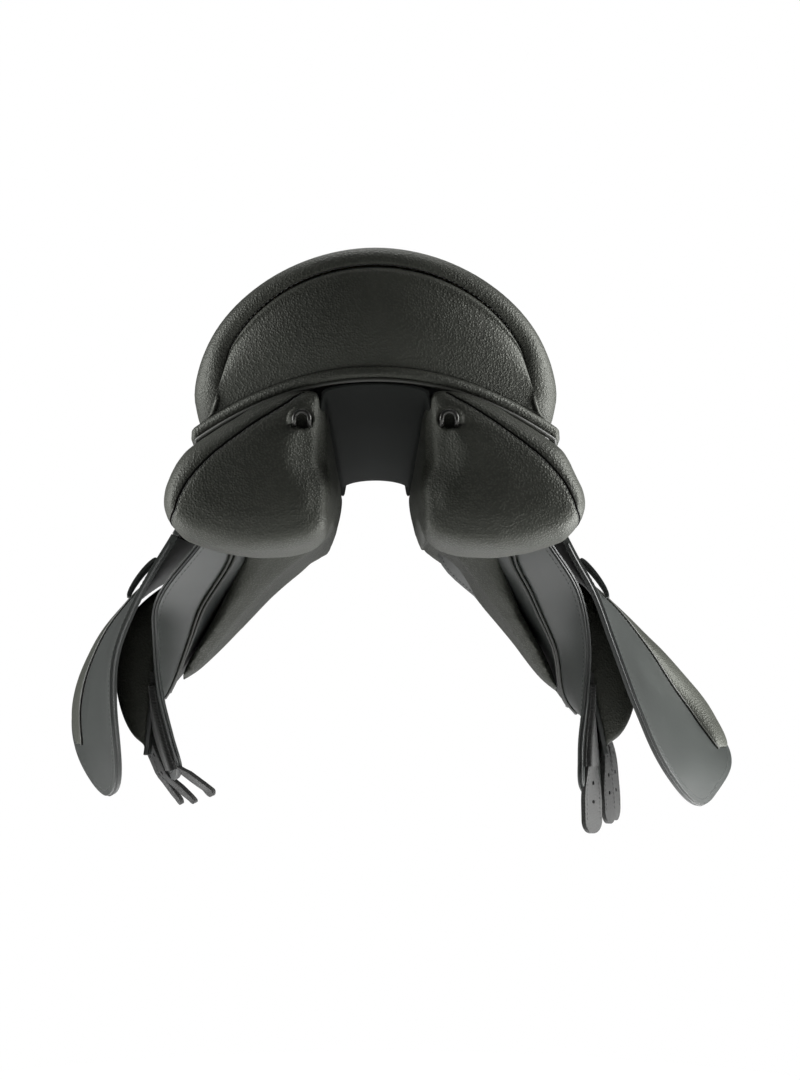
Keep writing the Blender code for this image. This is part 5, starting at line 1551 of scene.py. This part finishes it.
class SADDLE_OT_sweat_flaps(bpy.types.Operator):
    """Hangs the sweat flaps, with their bound and sewn edges."""

    bl_idname = "saddle.sweat_flaps"
    bl_label = "Sweat flaps"

    def execute(self, context):
        for side, drape in SWEAT.items():
            outline = SWEAT_EDGE[side]
            outer = drape_rows(drape, outline, 56, 28, SWEAT_WALL)
            inner = drape_rows(drape, outline, 56, 28, 0.0)
            for out, rows in ((SWEAT_WALL, outer), (0.0, inner)):
                _, back, front = SWEAT_OUTLINE[0]
                back += 0.020
                rows.insert(0, [drape.point(back + (front - back) * k / 28, SWEAT_TOP + 0.004, out - 0.002)
                                for k in range(29)])
            piece = slab(f"{side}_sweat_flap_leather_painted_sheen", outer, inner, edge=0.0013)
            dress(piece, "sweat", "smooth_leather", f"{side}_sweat_flap")
            pairs = outline.line(SWEAT_SEAM_INSET, 0.10)
            drape_seam(f"{side}_sweat_thread_outer", drape, pairs, SWEAT_WALL, BODY)
            drape_seam(f"{side}_sweat_thread_inner", drape, pairs, -0.00001, BODY)
            edge = outline.line(-0.0001, 0.06)
            for out, tag in ((0.0018, "inner"), (0.0042, "outer")):
                points = [drape.point(y, z, out) for y, z in edge]
                cord = tube(f"{side}_sweat_edge_{tag}", points, 0.0010, 6)
                dress(cord, "edge", "smooth_leather", body=BODY)
        return {"FINISHED"}


class SADDLE_OT_flaps(bpy.types.Operator):
    """Hangs the flaps from their tops, with knee pads, keepers and sewing."""

    bl_idname = "saddle.flaps"
    bl_label = "Flaps"

    def execute(self, context):
        for side in SIGN:
            self.top(side)
            self.flap(side)
            self.knee_pad(side)
            self.keeper(side)
        return {"FINISHED"}

    def top(self, side):
        face = SHOULDER[side]
        ys = np.linspace(FLAP_BACK, FLAP_TOP_FRONT, 41)
        shares = np.linspace(0, 1, 21)
        outer = [[face.point(y, share, FLAP_WALL) for y in ys] for share in shares]
        inner = [[face.point(y, share) for y in ys] for share in shares]
        piece = slab(f"{side}_flap_top_leather", outer, inner, edge=0.0014)
        dress(piece, "smooth", "smooth_leather", f"{side}_flap_top")
        inset = FLAP_TOP_SEAM_INSET
        for y, tag in ((FLAP_BACK + inset, "back"), (FLAP_TOP_FRONT - inset, "front")):
            spots = np.linspace(0.04, 0.98, 24)
            path = [face.point(y, share, FLAP_WALL) for share in spots]
            stitches(f"{side}_flap_top_thread_{tag}", path, [face.up(y, share) for share in spots], BODY)

    def flap(self, side):
        drape = FLAP[side]
        outline = FLAP_EDGE[side]
        body = NODES[f"{side}_flap"]["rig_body"]
        outer = drape_rows(drape, outline, 60, 36, FLAP_WALL)
        inner = drape_rows(drape, outline, 60, 36, 0.0)
        piece = slab(f"{side}_flap_leather", outer, inner, edge=0.0016)
        dress(piece, "smooth", "smooth_leather", f"{side}_flap")
        pairs = outline.line(FLAP_SEAM_INSET, 0.02)
        drape_seam(f"{side}_flap_thread_outer", drape, pairs, FLAP_WALL, body)
        drape_seam(f"{side}_flap_thread_inner", drape, pairs, -0.00001, body)
        edge = outline.line(-0.0001, 0.03)
        points = [drape.point(y, z, FLAP_WALL / 2) for y, z in edge]
        cord = tube(f"{side}_flap_edge", points, 0.0011, 6)
        dress(cord, "edge", "smooth_leather", body=body)

    def knee_pad(self, side):
        drape = FLAP[side]
        outline = FLAP_EDGE[side]
        foot = FLAP_WALL + 2 * LIE
        inset, more = KNEE_PAD_INSET[side]
        high, full = KNEE_PAD_RISE[side]
        rings = []
        rows, columns = 40, 14
        rear_line = []
        for k in range(rows + 1):
            along = k / rows
            depth = KNEE_PAD["top"] + (KNEE_PAD["low"] - KNEE_PAD["top"]) * along
            z = outline.height(depth)
            front = outline.edges(depth)[1] - inset - more * max(depth - 0.5, 0.0) ** 1.5
            swell = arch(along, 0.4, 0.004, 0.996)
            rise = (high + (full - high) * share_of(along, 0.15, 0.85)) * swell
            width = KNEE_PAD["width"] * (0.35 + 0.65 * swell)
            ys = [front - width * (1 - j / columns) for j in range(columns + 1)]
            ring = [drape.point(y, z, foot) for y in ys]
            for j in range(columns, -1, -1):
                ring.append(drape.point(ys[j], z, foot + 0.0012 + rise * arch(j / columns, 0.55)))
            rings.append(ring)
            rear_line.append((ys[0], z))
        obj = refined(pod(f"{side}_knee_pad_cover", rings))
        dress(obj, "grained", "smooth_leather", f"{side}_knee_pad")
        body = NODES[f"{side}_flap"]["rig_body"]
        points = [drape.point(y - 0.0012, z, foot + 0.0004) for y, z in rear_line]
        cord = tube(f"{side}_knee_pad_piping", points, 0.0014, 8)
        dress(cord, "piping", "smooth_leather", body=body)
        pairs = [(y - 0.0048, z) for y, z in rear_line[1:-1]]
        drape_seam(f"{side}_knee_pad_thread", drape, pairs, FLAP_WALL, body)

    def keeper(self, side):
        drape = FLAP[side]
        body = NODES[f"{side}_flap"]["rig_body"]
        half = KEEPER["width"] / 2
        foot = FLAP_WALL + 2 * LIE
        ys = np.linspace(KEEPER["place"] - half, KEEPER["place"] + half, 9)
        taper = [1.0 - KEEPER["taper"] * (y - KEEPER["place"]) / half for y in ys]
        middle = KEEPER["top"] - KEEPER["height"] / 2
        grids = {0.0: [], KEEPER["wall"]: []}
        for k in range(33):
            turn = math.pi * k / 32
            z = KEEPER["top"] - KEEPER["height"] / 2 * (1 - math.cos(turn))
            out = (KEEPER["depth"] - KEEPER["wall"]) * math.sin(turn) ** 0.6
            for lift, rows in grids.items():
                level = middle + (z - middle) * (1.0 + KEEPER["spread"] * lift / KEEPER["depth"])
                rows.append([drape.point(y, level, foot + out * thin + lift) for y, thin in zip(ys, taper)])
        piece = slab(f"{side}_keeper_leather", grids[KEEPER["wall"]], grids[0.0], edge=0.0008)
        dress(piece, "smooth", "smooth_leather", f"{side}_stirrup_keeper")
        for z, tag in ((KEEPER["top"] + 0.0035, "top"), (KEEPER["top"] - KEEPER["height"] - 0.0035, "low")):
            pairs = [(y, z) for y in np.linspace(KEEPER["place"] - half, KEEPER["place"] + half, 6)]
            drape_seam(f"{side}_keeper_thread_{tag}", drape, pairs, FLAP_WALL, body)


class SADDLE_OT_skirts(bpy.types.Operator):
    """Lays the skirts over the stirrup bars."""

    bl_idname = "saddle.skirts"
    bl_label = "Skirts"

    def execute(self, context):
        for side, sign in SIGN.items():
            body = NODES[f"{side}_skirt"]["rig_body"]
            inner = self.rows(side)
            ups = ups_of(inner, False)
            if ups[4][10].x * sign < 0:
                ups = [[-up for up in line] for line in ups]
            outer = moved(inner, ups, SKIRT_WALL)
            piece = slab(f"{side}_skirt_leather", outer, inner, edge=0.0014)
            dress(piece, "smooth", "smooth_leather", f"{side}_skirt")
            rows, count = len(outer), len(outer[0])
            edge = [(r, 1) for r in range(1, rows - 1)] + [(rows - 2, k) for k in range(1, count - 1)]
            edge += [(r, count - 2) for r in range(rows - 2, 0, -1)]
            path = [outer[r][k] for r, k in edge]
            stitches(f"{side}_skirt_thread", path, [ups[r][k] for r, k in edge], body)
        return {"FINISHED"}

    def rows(self, side):
        sign = SIGN[side]
        face = SHOULDER[side]
        ends = []
        for y in (SKIRT_BACK, SKIRT_FRONT):
            rim = rim_beside(y)
            ends.append(Vector((rim.x, y, rim.z - ROLL - SKIRT_DROP)))
        clear = SKIRT_CLEAR * ROLL + 2 * LIE
        push = 0.0
        for y in np.linspace(SKIRT_BACK, SKIRT_FRONT, 12):
            rim = rim_beside(y)
            line = ends[0].lerp(ends[1], (y - SKIRT_BACK) / (SKIRT_FRONT - SKIRT_BACK))
            push = max(push, rim.x + math.sqrt(max(clear**2 - (line.z - rim.z) ** 2, 0.0)) - line.x)
        rise = 2 * LIE + BAR_HEIGHT
        rows = []
        for share in np.linspace(0, 1, 28):
            row = []
            trim = SKIRT_ROUNDING * max(share - SKIRT_STRAIGHT, 0.0) ** 2
            for k in range(41):
                back, front = SKIRT_BACK + trim, SKIRT_FRONT - trim
                y = back + (front - back) * k / 40
                down = share * SKIRT_HEM
                high = ends[0].lerp(ends[1], (y - SKIRT_BACK) / (SKIRT_FRONT - SKIRT_BACK))
                high = high + Vector((push, 0, 0))
                low = face.face(y, SKIRT_HEM) + face.normal(y, SKIRT_HEM) * (FLAP_WALL + 2 * LIE)
                over = plateau(y, 0.5 * (BAR_BACK + BAR_FRONT), *BAR_ALONG)
                over *= plateau(down, BAR_SHARE, *BAR_DOWN)
                bow = SHOULDER_BOW * (math.sin(math.pi * down) - math.sin(math.pi * SKIRT_HEM) * share)
                point = high.lerp(low, share) + face.normal(y, down) * (max(bow, 0) + rise * over)
                point.x *= sign
                row.append(point)
            rows.append(row)
        return rows


def plateau(value, middle, flat, fall):
    """1 near the middle, easing to 0 beyond the flat stretch."""
    return 1.0 - share_of(abs(value - middle), flat, flat + fall)


class SADDLE_OT_blocks(bpy.types.Operator):
    """Pads the thigh and knee blocks on their flanges."""

    bl_idname = "saddle.blocks"
    bl_label = "Blocks"

    def execute(self, context):
        for side in SIGN:
            for name in BLOCKS:
                self.block(side, name)
        return {"FINISHED"}

    def block(self, side, name):
        """A sewn pad on its flange, which follows the sweat flap and then hangs free."""
        place, width, top, low, turn_height = BLOCKS[name]
        lean = BLOCK_LEAN[side] if name == "thigh_block" else 0.0
        depth = BLOCK_DEPTH[side, name]
        drape = SWEAT[side]
        stand = SWEAT_WALL + 2 * LIE
        face, back, seam, rings = [], [], [], []
        for k in range(49):
            share = k / 48
            z = top + (low - top) * share
            along = max(z, turn_height)
            base = max(drape.reach(place + j * width / 2, along)
                       + stand / drape.normal(place + j * width / 2, along).x for j in (-1, 0, 1))
            base += lean * (turn_height - z) if z < turn_height else 0.0
            swell = arch(share * 1.06, 0.55) * depth
            half = width / 2 * (0.55 + 0.45 * arch(share, 0.5, 0.04, 0.96))
            wide = BLOCK_PAD * half

            def at(y, out):
                room = FLAP[side].reach(place + y, z) - BLOCK_ROOM
                return Vector((SIGN[side] * min(base + out, room), place + y, z))

            face.append([at(half * j / 4, FLANGE) for j in range(-4, 5)])
            back.append([at(half * j / 4, 0.0) for j in range(-4, 5)])
            seam.append((at(-BLOCK_SEAM * half, FLANGE), at(BLOCK_SEAM * half, FLANGE)))
            ring = []
            for j in range(17):
                angle = math.pi - math.pi * j / 16
                ring.append(at(wide * math.cos(angle), FLANGE - 0.0006 + swell * math.sin(angle) ** 0.72))
            rings.append(ring + [at(wide * (1 - j / 4), FLANGE - 0.0010) for j in range(1, 8)])
        piece = slab(f"{side}_{name}_flange", face, back, edge=0.0012)
        dress(piece, "smooth", "smooth_leather", f"{side}_{name}")
        obj = refined(pod(f"{side}_{name}_pad", rings))
        dress(obj, "grained", "grained_leather", body=BODY)
        for j, tag in ((0, "back"), (1, "front")):
            path = [pair[j] for pair in seam[2:-2]]
            stitches(f"{side}_{name}_thread_{tag}", path, [Vector((SIGN[side], 0, 0))] * len(path), BODY)


class SADDLE_OT_billets(bpy.types.Operator):
    """Hangs the woven billets with their punched holes, and the sleeve over the rear one."""

    bl_idname = "saddle.billets"
    bl_label = "Billets"

    def execute(self, context):
        for side, drape in SWEAT.items():
            low = SWEAT_TIP[side] - BILLET_REACH
            for name, place in BILLETS.items():
                top = BILLET_TOP if name != "rear" else SLEEVE_TOP + 0.012
                self.strap(side, name, place, drape, top, low)
            self.sleeve(side, drape)
        return {"FINISHED"}

    def strap(self, side, name, place, drape, top, low):
        curl, twist, cut, start = BILLET_LIE[side, name]
        low += cut
        hem = SWEAT_TIP[side]

        def lie(wide, z, out):
            """Where the strap's point at this distance from its middle line lies."""
            turn = twist * share_of(hem + 0.050 - z, 0.0, 0.05)
            point = drape.point(place + wide * math.cos(turn), z, out)
            below = max(hem + start - z, 0.0)
            bend = curl * min(below * 0.62, 0.018) * min(below / 0.012, 1.0)
            point.x += drape.sign * (wide * math.sin(turn) - bend)
            return point

        half = BILLET_WIDTH / 2
        levels = list(np.linspace(top, low + half, 60))
        widths = [half] * len(levels)
        for k in range(1, 13):
            turn = math.pi / 2 * k / 12
            levels.append(low + half * (1 - math.sin(turn)))
            widths.append(max(half * math.cos(turn), 0.0006))
        face = BILLET_STAND + BILLET_WALL
        outer, inner = (
            [[lie(width * j / 6, z, out) for j in range(-6, 7)] for z, width in zip(levels, widths)]
            for out in (face, BILLET_STAND)
        )
        node = f"{side}_{name}_billet"
        piece = slab(f"{node}_strap", outer, inner, edge=0.0007)
        self.punch(piece, drape, place, top, low)
        dress(piece, "webbing", "webbing", node)
        body = NODES[node]["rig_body"]
        for j, tag in ((-1, "back"), (1, "front")):
            wide = j * (half - 0.003)
            spots = np.linspace(top - 0.004, low + half, 90)
            path = [lie(wide, z, face) for z in spots]
            stitches(f"{node}_thread_{tag}", path, [drape.up(place + wide, z) for z in spots], body)

    def punch(self, piece, drape, place, top, low):
        """Cuts the buckle holes."""
        verts, faces = [], []
        z = low + HOLE_FIRST
        while z < min(top - 0.02, low + HOLE_LAST):
            middle = drape.point(place, z, BILLET_STAND + BILLET_WALL / 2)
            up = drape.up(place, z)
            run = up.orthogonal().normalized()
            shape = 2, HOLE_SIDES, len(verts)
            faces += bands(*shape) + caps(*shape)
            for end in (-0.006, 0.006):
                verts += circle(middle + up * end, run, up.cross(run), HOLE_RADIUS, HOLE_SIDES)
            z += HOLE_PITCH
        cutter = build("billet_punch", verts, faces)
        cut = piece.modifiers.new("Holes", "BOOLEAN")
        cut.operation = "DIFFERENCE"
        cut.object = cutter
        cut.solver = "EXACT"
        settle(piece, 50.0)
        bpy.data.objects.remove(cutter, do_unlink=True)

    def sleeve(self, side, drape):
        half = BILLET_WIDTH / 2
        foot = SWEAT_WALL + LIE
        over = BILLET_STAND + BILLET_WALL + 1.5 * LIE
        bend = [(half + 0.0008, over, 0), (half + 0.0024, foot, 0), (half + 0.0045, foot, 0)]
        profile = smooth_line([(-x, y, z) for x, y, z in bend[::-1]] + [(0.0, over, 0)] + bend, 5)
        zs = np.linspace(SLEEVE_TOP, SLEEVE_TOP - SLEEVE_LENGTH, 30)
        place = BILLETS["rear"]
        outer = [[drape.point(place + spot.x, z, spot.y + SLEEVE_WALL) for spot in profile] for z in zs]
        inner = [[drape.point(place + spot.x, z, spot.y) for spot in profile] for z in zs]
        piece = slab(f"{side}_sleeve_webbing", outer, inner, edge=0.0004)
        dress(piece, "webbing", "webbing", f"{side}_billet_sleeve")
        for j, tag in ((-1, "back"), (1, "front")):
            path = [drape.point(place + j * (half + 0.0034), z, foot + SLEEVE_WALL) for z in zs]
            ups = [drape.up(place + j * (half + 0.0034), z) for z in zs]
            stitches(f"{side}_sleeve_thread_{tag}", path, ups, BODY)


class SADDLE_OT_metal(bpy.types.Operator):
    """Finishes the stirrup bars, dees and nails."""

    bl_idname = "saddle.metal"
    bl_label = "Metal"

    def execute(self, context):
        for side in SIGN:
            for part, finish in BARE_PARTS.items():
                coat(NODES[f"{side}_{part}"], finish)
            self.rear_dee(side)
            self.nail(side)
        return {"FINISHED"}

    def rear_dee(self, side):
        middle = SIGN[side] * REAR_DEE["place"]
        half = (REAR_DEE["width"] - DEE_WIRE) / 2
        back = REAR_DEE["back"]
        foot = REAR_DEE["height"] - REAR_DEE["rise"] / 2
        points = [(middle - half, back + 0.016, foot), (middle - half, back + 0.004, foot),
                  (middle - half, back, foot + 0.003)]
        for k in range(17):
            turn = math.pi - math.pi * k / 16
            points.append((middle + half * math.cos(turn), back, foot + 0.004 + half * math.sin(turn)))
        points += [(middle + half, back, foot + 0.003), (middle + half, back + 0.004, foot),
                   (middle + half, back + 0.016, foot)]
        dee = tube(f"{side}_rear_dee_wire", smooth_line(points, 3), DEE_WIRE / 2, 14)
        dress(dee, "black_metal", "steel", f"{side}_rear_dee")

    def nail(self, side):
        section = SeatSection(LAST_COLUMN - 4)
        up = (section.out * math.cos(0.5) + section.up * math.sin(0.5)).normalized()
        place = section.rim + up * (ROLL + LIE)
        sign = SIGN[side]
        up.x *= sign
        place.x *= sign
        beside = up.orthogonal().normalized()
        other = up.cross(beside)
        rings = [(0.0052, 0.0), (0.0056, 0.0004)]
        for k in range(12):
            turn = math.pi / 2 * k / 12
            lift = NAIL_HEAD["rim"] + NAIL_HEAD["crown"] * math.sin(turn)
            rings.append((NAIL_HEAD["radius"] * math.cos(turn), lift))
        verts = [point for wide, lift in rings
                 for point in circle(place + up * lift, beside, other, wide, NAIL_SIDES)]
        faces = bands(len(rings), NAIL_SIDES)
        verts.append(place + up * (NAIL_HEAD["rim"] + NAIL_HEAD["crown"]))
        last = (len(rings) - 1) * NAIL_SIDES
        faces += [(last + k, last + (k + 1) % NAIL_SIDES, len(verts) - 1) for k in range(NAIL_SIDES)]
        faces.append(tuple(range(NAIL_SIDES))[::-1])
        nail = settle(build(f"{side}_nail_head", verts, faces))
        dress(nail, "nickel", "steel", f"{side}_saddle_nail")


class SADDLE_OT_stage(bpy.types.Operator):
    """Sets the floor, lights, room and camera."""

    bl_idname = "saddle.stage"
    bl_label = "Stage"

    def execute(self, context):
        scene = context.scene
        stage = scene.saddle_stage
        self.camera(scene)
        self.room(scene, stage)
        self.floor(stage)
        for name, (place, at, size, setting, share) in LAMPS.items():
            self.lamp(name, place, at, size, getattr(stage, setting) * share)
        scene.view_settings.view_transform = "Standard"
        return {"FINISHED"}

    def camera(self, scene):
        data = bpy.data.cameras.new("photo_camera")
        camera = bpy.data.objects.new("photo_camera", data)
        scene.collection.objects.link(camera)
        camera.location = CAMERA_PLACE
        camera.rotation_euler = (math.pi / 2 + CAMERA_PITCH, 0.0, 0.0)
        data.sensor_width = 36.0
        data.lens = FOCAL / PHOTO[1] * data.sensor_width
        data.shift_x = (PHOTO[0] / 2 - AXIS_COLUMN) / PHOTO[1]
        scene.camera = camera

    def room(self, scene, stage):
        world = bpy.data.worlds.new("room")
        scene.world = world
        world.use_nodes = True
        tree = world.node_tree
        tree.nodes.clear()
        seen = tree.nodes.new("ShaderNodeLightPath")
        white = tree.nodes.new("ShaderNodeBackground")
        white.inputs["Color"].default_value = (1, 1, 1, 1)
        soft = tree.nodes.new("ShaderNodeBackground")
        soft.inputs["Color"].default_value = (1, 1, 1, 1)
        soft.inputs["Strength"].default_value = stage.fill
        mix = tree.nodes.new("ShaderNodeMixShader")
        out = tree.nodes.new("ShaderNodeOutputWorld")
        either = tree.nodes.new("ShaderNodeMath")
        either.operation = "MAXIMUM"
        tree.links.new(seen.outputs["Is Camera Ray"], either.inputs[0])
        tree.links.new(seen.outputs["Is Transmission Ray"], either.inputs[1])
        tree.links.new(either.outputs[0], mix.inputs[0])
        tree.links.new(soft.outputs[0], mix.inputs[1])
        tree.links.new(white.outputs[0], mix.inputs[2])
        tree.links.new(mix.outputs[0], out.inputs["Surface"])

    def floor(self, stage):
        signs = ((-1, -1), (1, -1), (1, 1), (-1, 1))
        corners = [(x * FLOOR_SIZE, y * FLOOR_SIZE, stage.floor) for x, y in signs]
        mesh = bpy.data.meshes.new("floor")
        mesh.from_pydata(corners, [], [(0, 1, 2, 3)])
        floor = put("floor", mesh)
        finish = Finish("pale_floor", Specular_IOR_Level=0.1)
        specks = finish.noise(40.0, 4.0)
        pale = finish.mix(specks, (0.86, 0.86, 0.86), (0.90, 0.90, 0.90))
        finish.put(finish.shader.inputs["Base Color"], pale)
        finish.put(finish.shader.inputs["Roughness"], 0.75 + 0.1 * specks)
        glow = finish.tree.nodes.new("ShaderNodeEmission")
        seen = finish.node("ShaderNodeLightPath", output="Is Camera Ray")
        middle = finish.node("ShaderNodeVectorMath", {"operation": "LENGTH"}, {0: finish.place}, "Value")
        share = seen * finish.stretch(middle, *FLOOR_GLOW)
        blend = finish.tree.nodes.new("ShaderNodeMixShader")
        finish.put(blend.inputs[0], share)
        finish.tree.links.new(finish.shader.outputs[0], blend.inputs[1])
        finish.tree.links.new(glow.outputs[0], blend.inputs[2])
        finish.tree.links.new(blend.outputs[0], finish.tree.nodes["Material Output"].inputs["Surface"])
        mesh.materials.append(finish.material)

    def lamp(self, name, place, at, size, power):
        data = bpy.data.lights.new(name, "AREA")
        data.shape = "DISK"
        data.size = size
        data.energy = power
        lamp = bpy.data.objects.new(name, data)
        lamp.visible_camera = False
        bpy.context.scene.collection.objects.link(lamp)
        lamp.location = place
        lamp.rotation_euler = (Vector(at) - Vector(place)).to_track_quat("-Z", "Y").to_euler()


class SADDLE_PT_panel(bpy.types.Panel):
    """Lists the saddle's making, step by step."""

    bl_idname = "SADDLE_PT_panel"
    bl_label = "Saddle"
    bl_space_type = "VIEW_3D"
    bl_region_type = "UI"
    bl_category = "Saddle"

    def draw(self, context):
        for group in SETTINGS:
            box = self.layout.box()
            settings = getattr(context.scene, group)
            for name in settings.bl_rna.properties.keys():
                if name not in ("rna_type", "name"):
                    box.prop(settings, name)
        for step in STEPS:
            self.layout.operator(step.bl_idname)


SETTINGS = {
    "saddle_leather": LeatherSettings,
    "saddle_sewing": SewingSettings,
    "saddle_padding": PaddingSettings,
    "saddle_stage": StageSettings,
}
STEPS = (
    SADDLE_OT_stage,
    SADDLE_OT_seat,
    SADDLE_OT_cantle,
    SADDLE_OT_pommel,
    SADDLE_OT_panels,
    SADDLE_OT_gullet,
    SADDLE_OT_sweat_flaps,
    SADDLE_OT_flaps,
    SADDLE_OT_skirts,
    SADDLE_OT_blocks,
    SADDLE_OT_billets,
    SADDLE_OT_metal,
)


def register():
    for group, kind in SETTINGS.items():
        bpy.utils.register_class(kind)
        setattr(bpy.types.Scene, group, PointerProperty(type=kind))
    for kind in (*STEPS, SADDLE_PT_panel):
        bpy.utils.register_class(kind)


def unregister():
    for kind in (SADDLE_PT_panel, *STEPS[::-1]):
        bpy.utils.unregister_class(kind)
    for group, kind in SETTINGS.items():
        delattr(bpy.types.Scene, group)
        bpy.utils.unregister_class(kind)


def main():
    register()
    for step in STEPS:
        family, name = step.bl_idname.split(".")
        getattr(getattr(bpy.ops, family), name)()


if __name__ == "__main__":
    main()
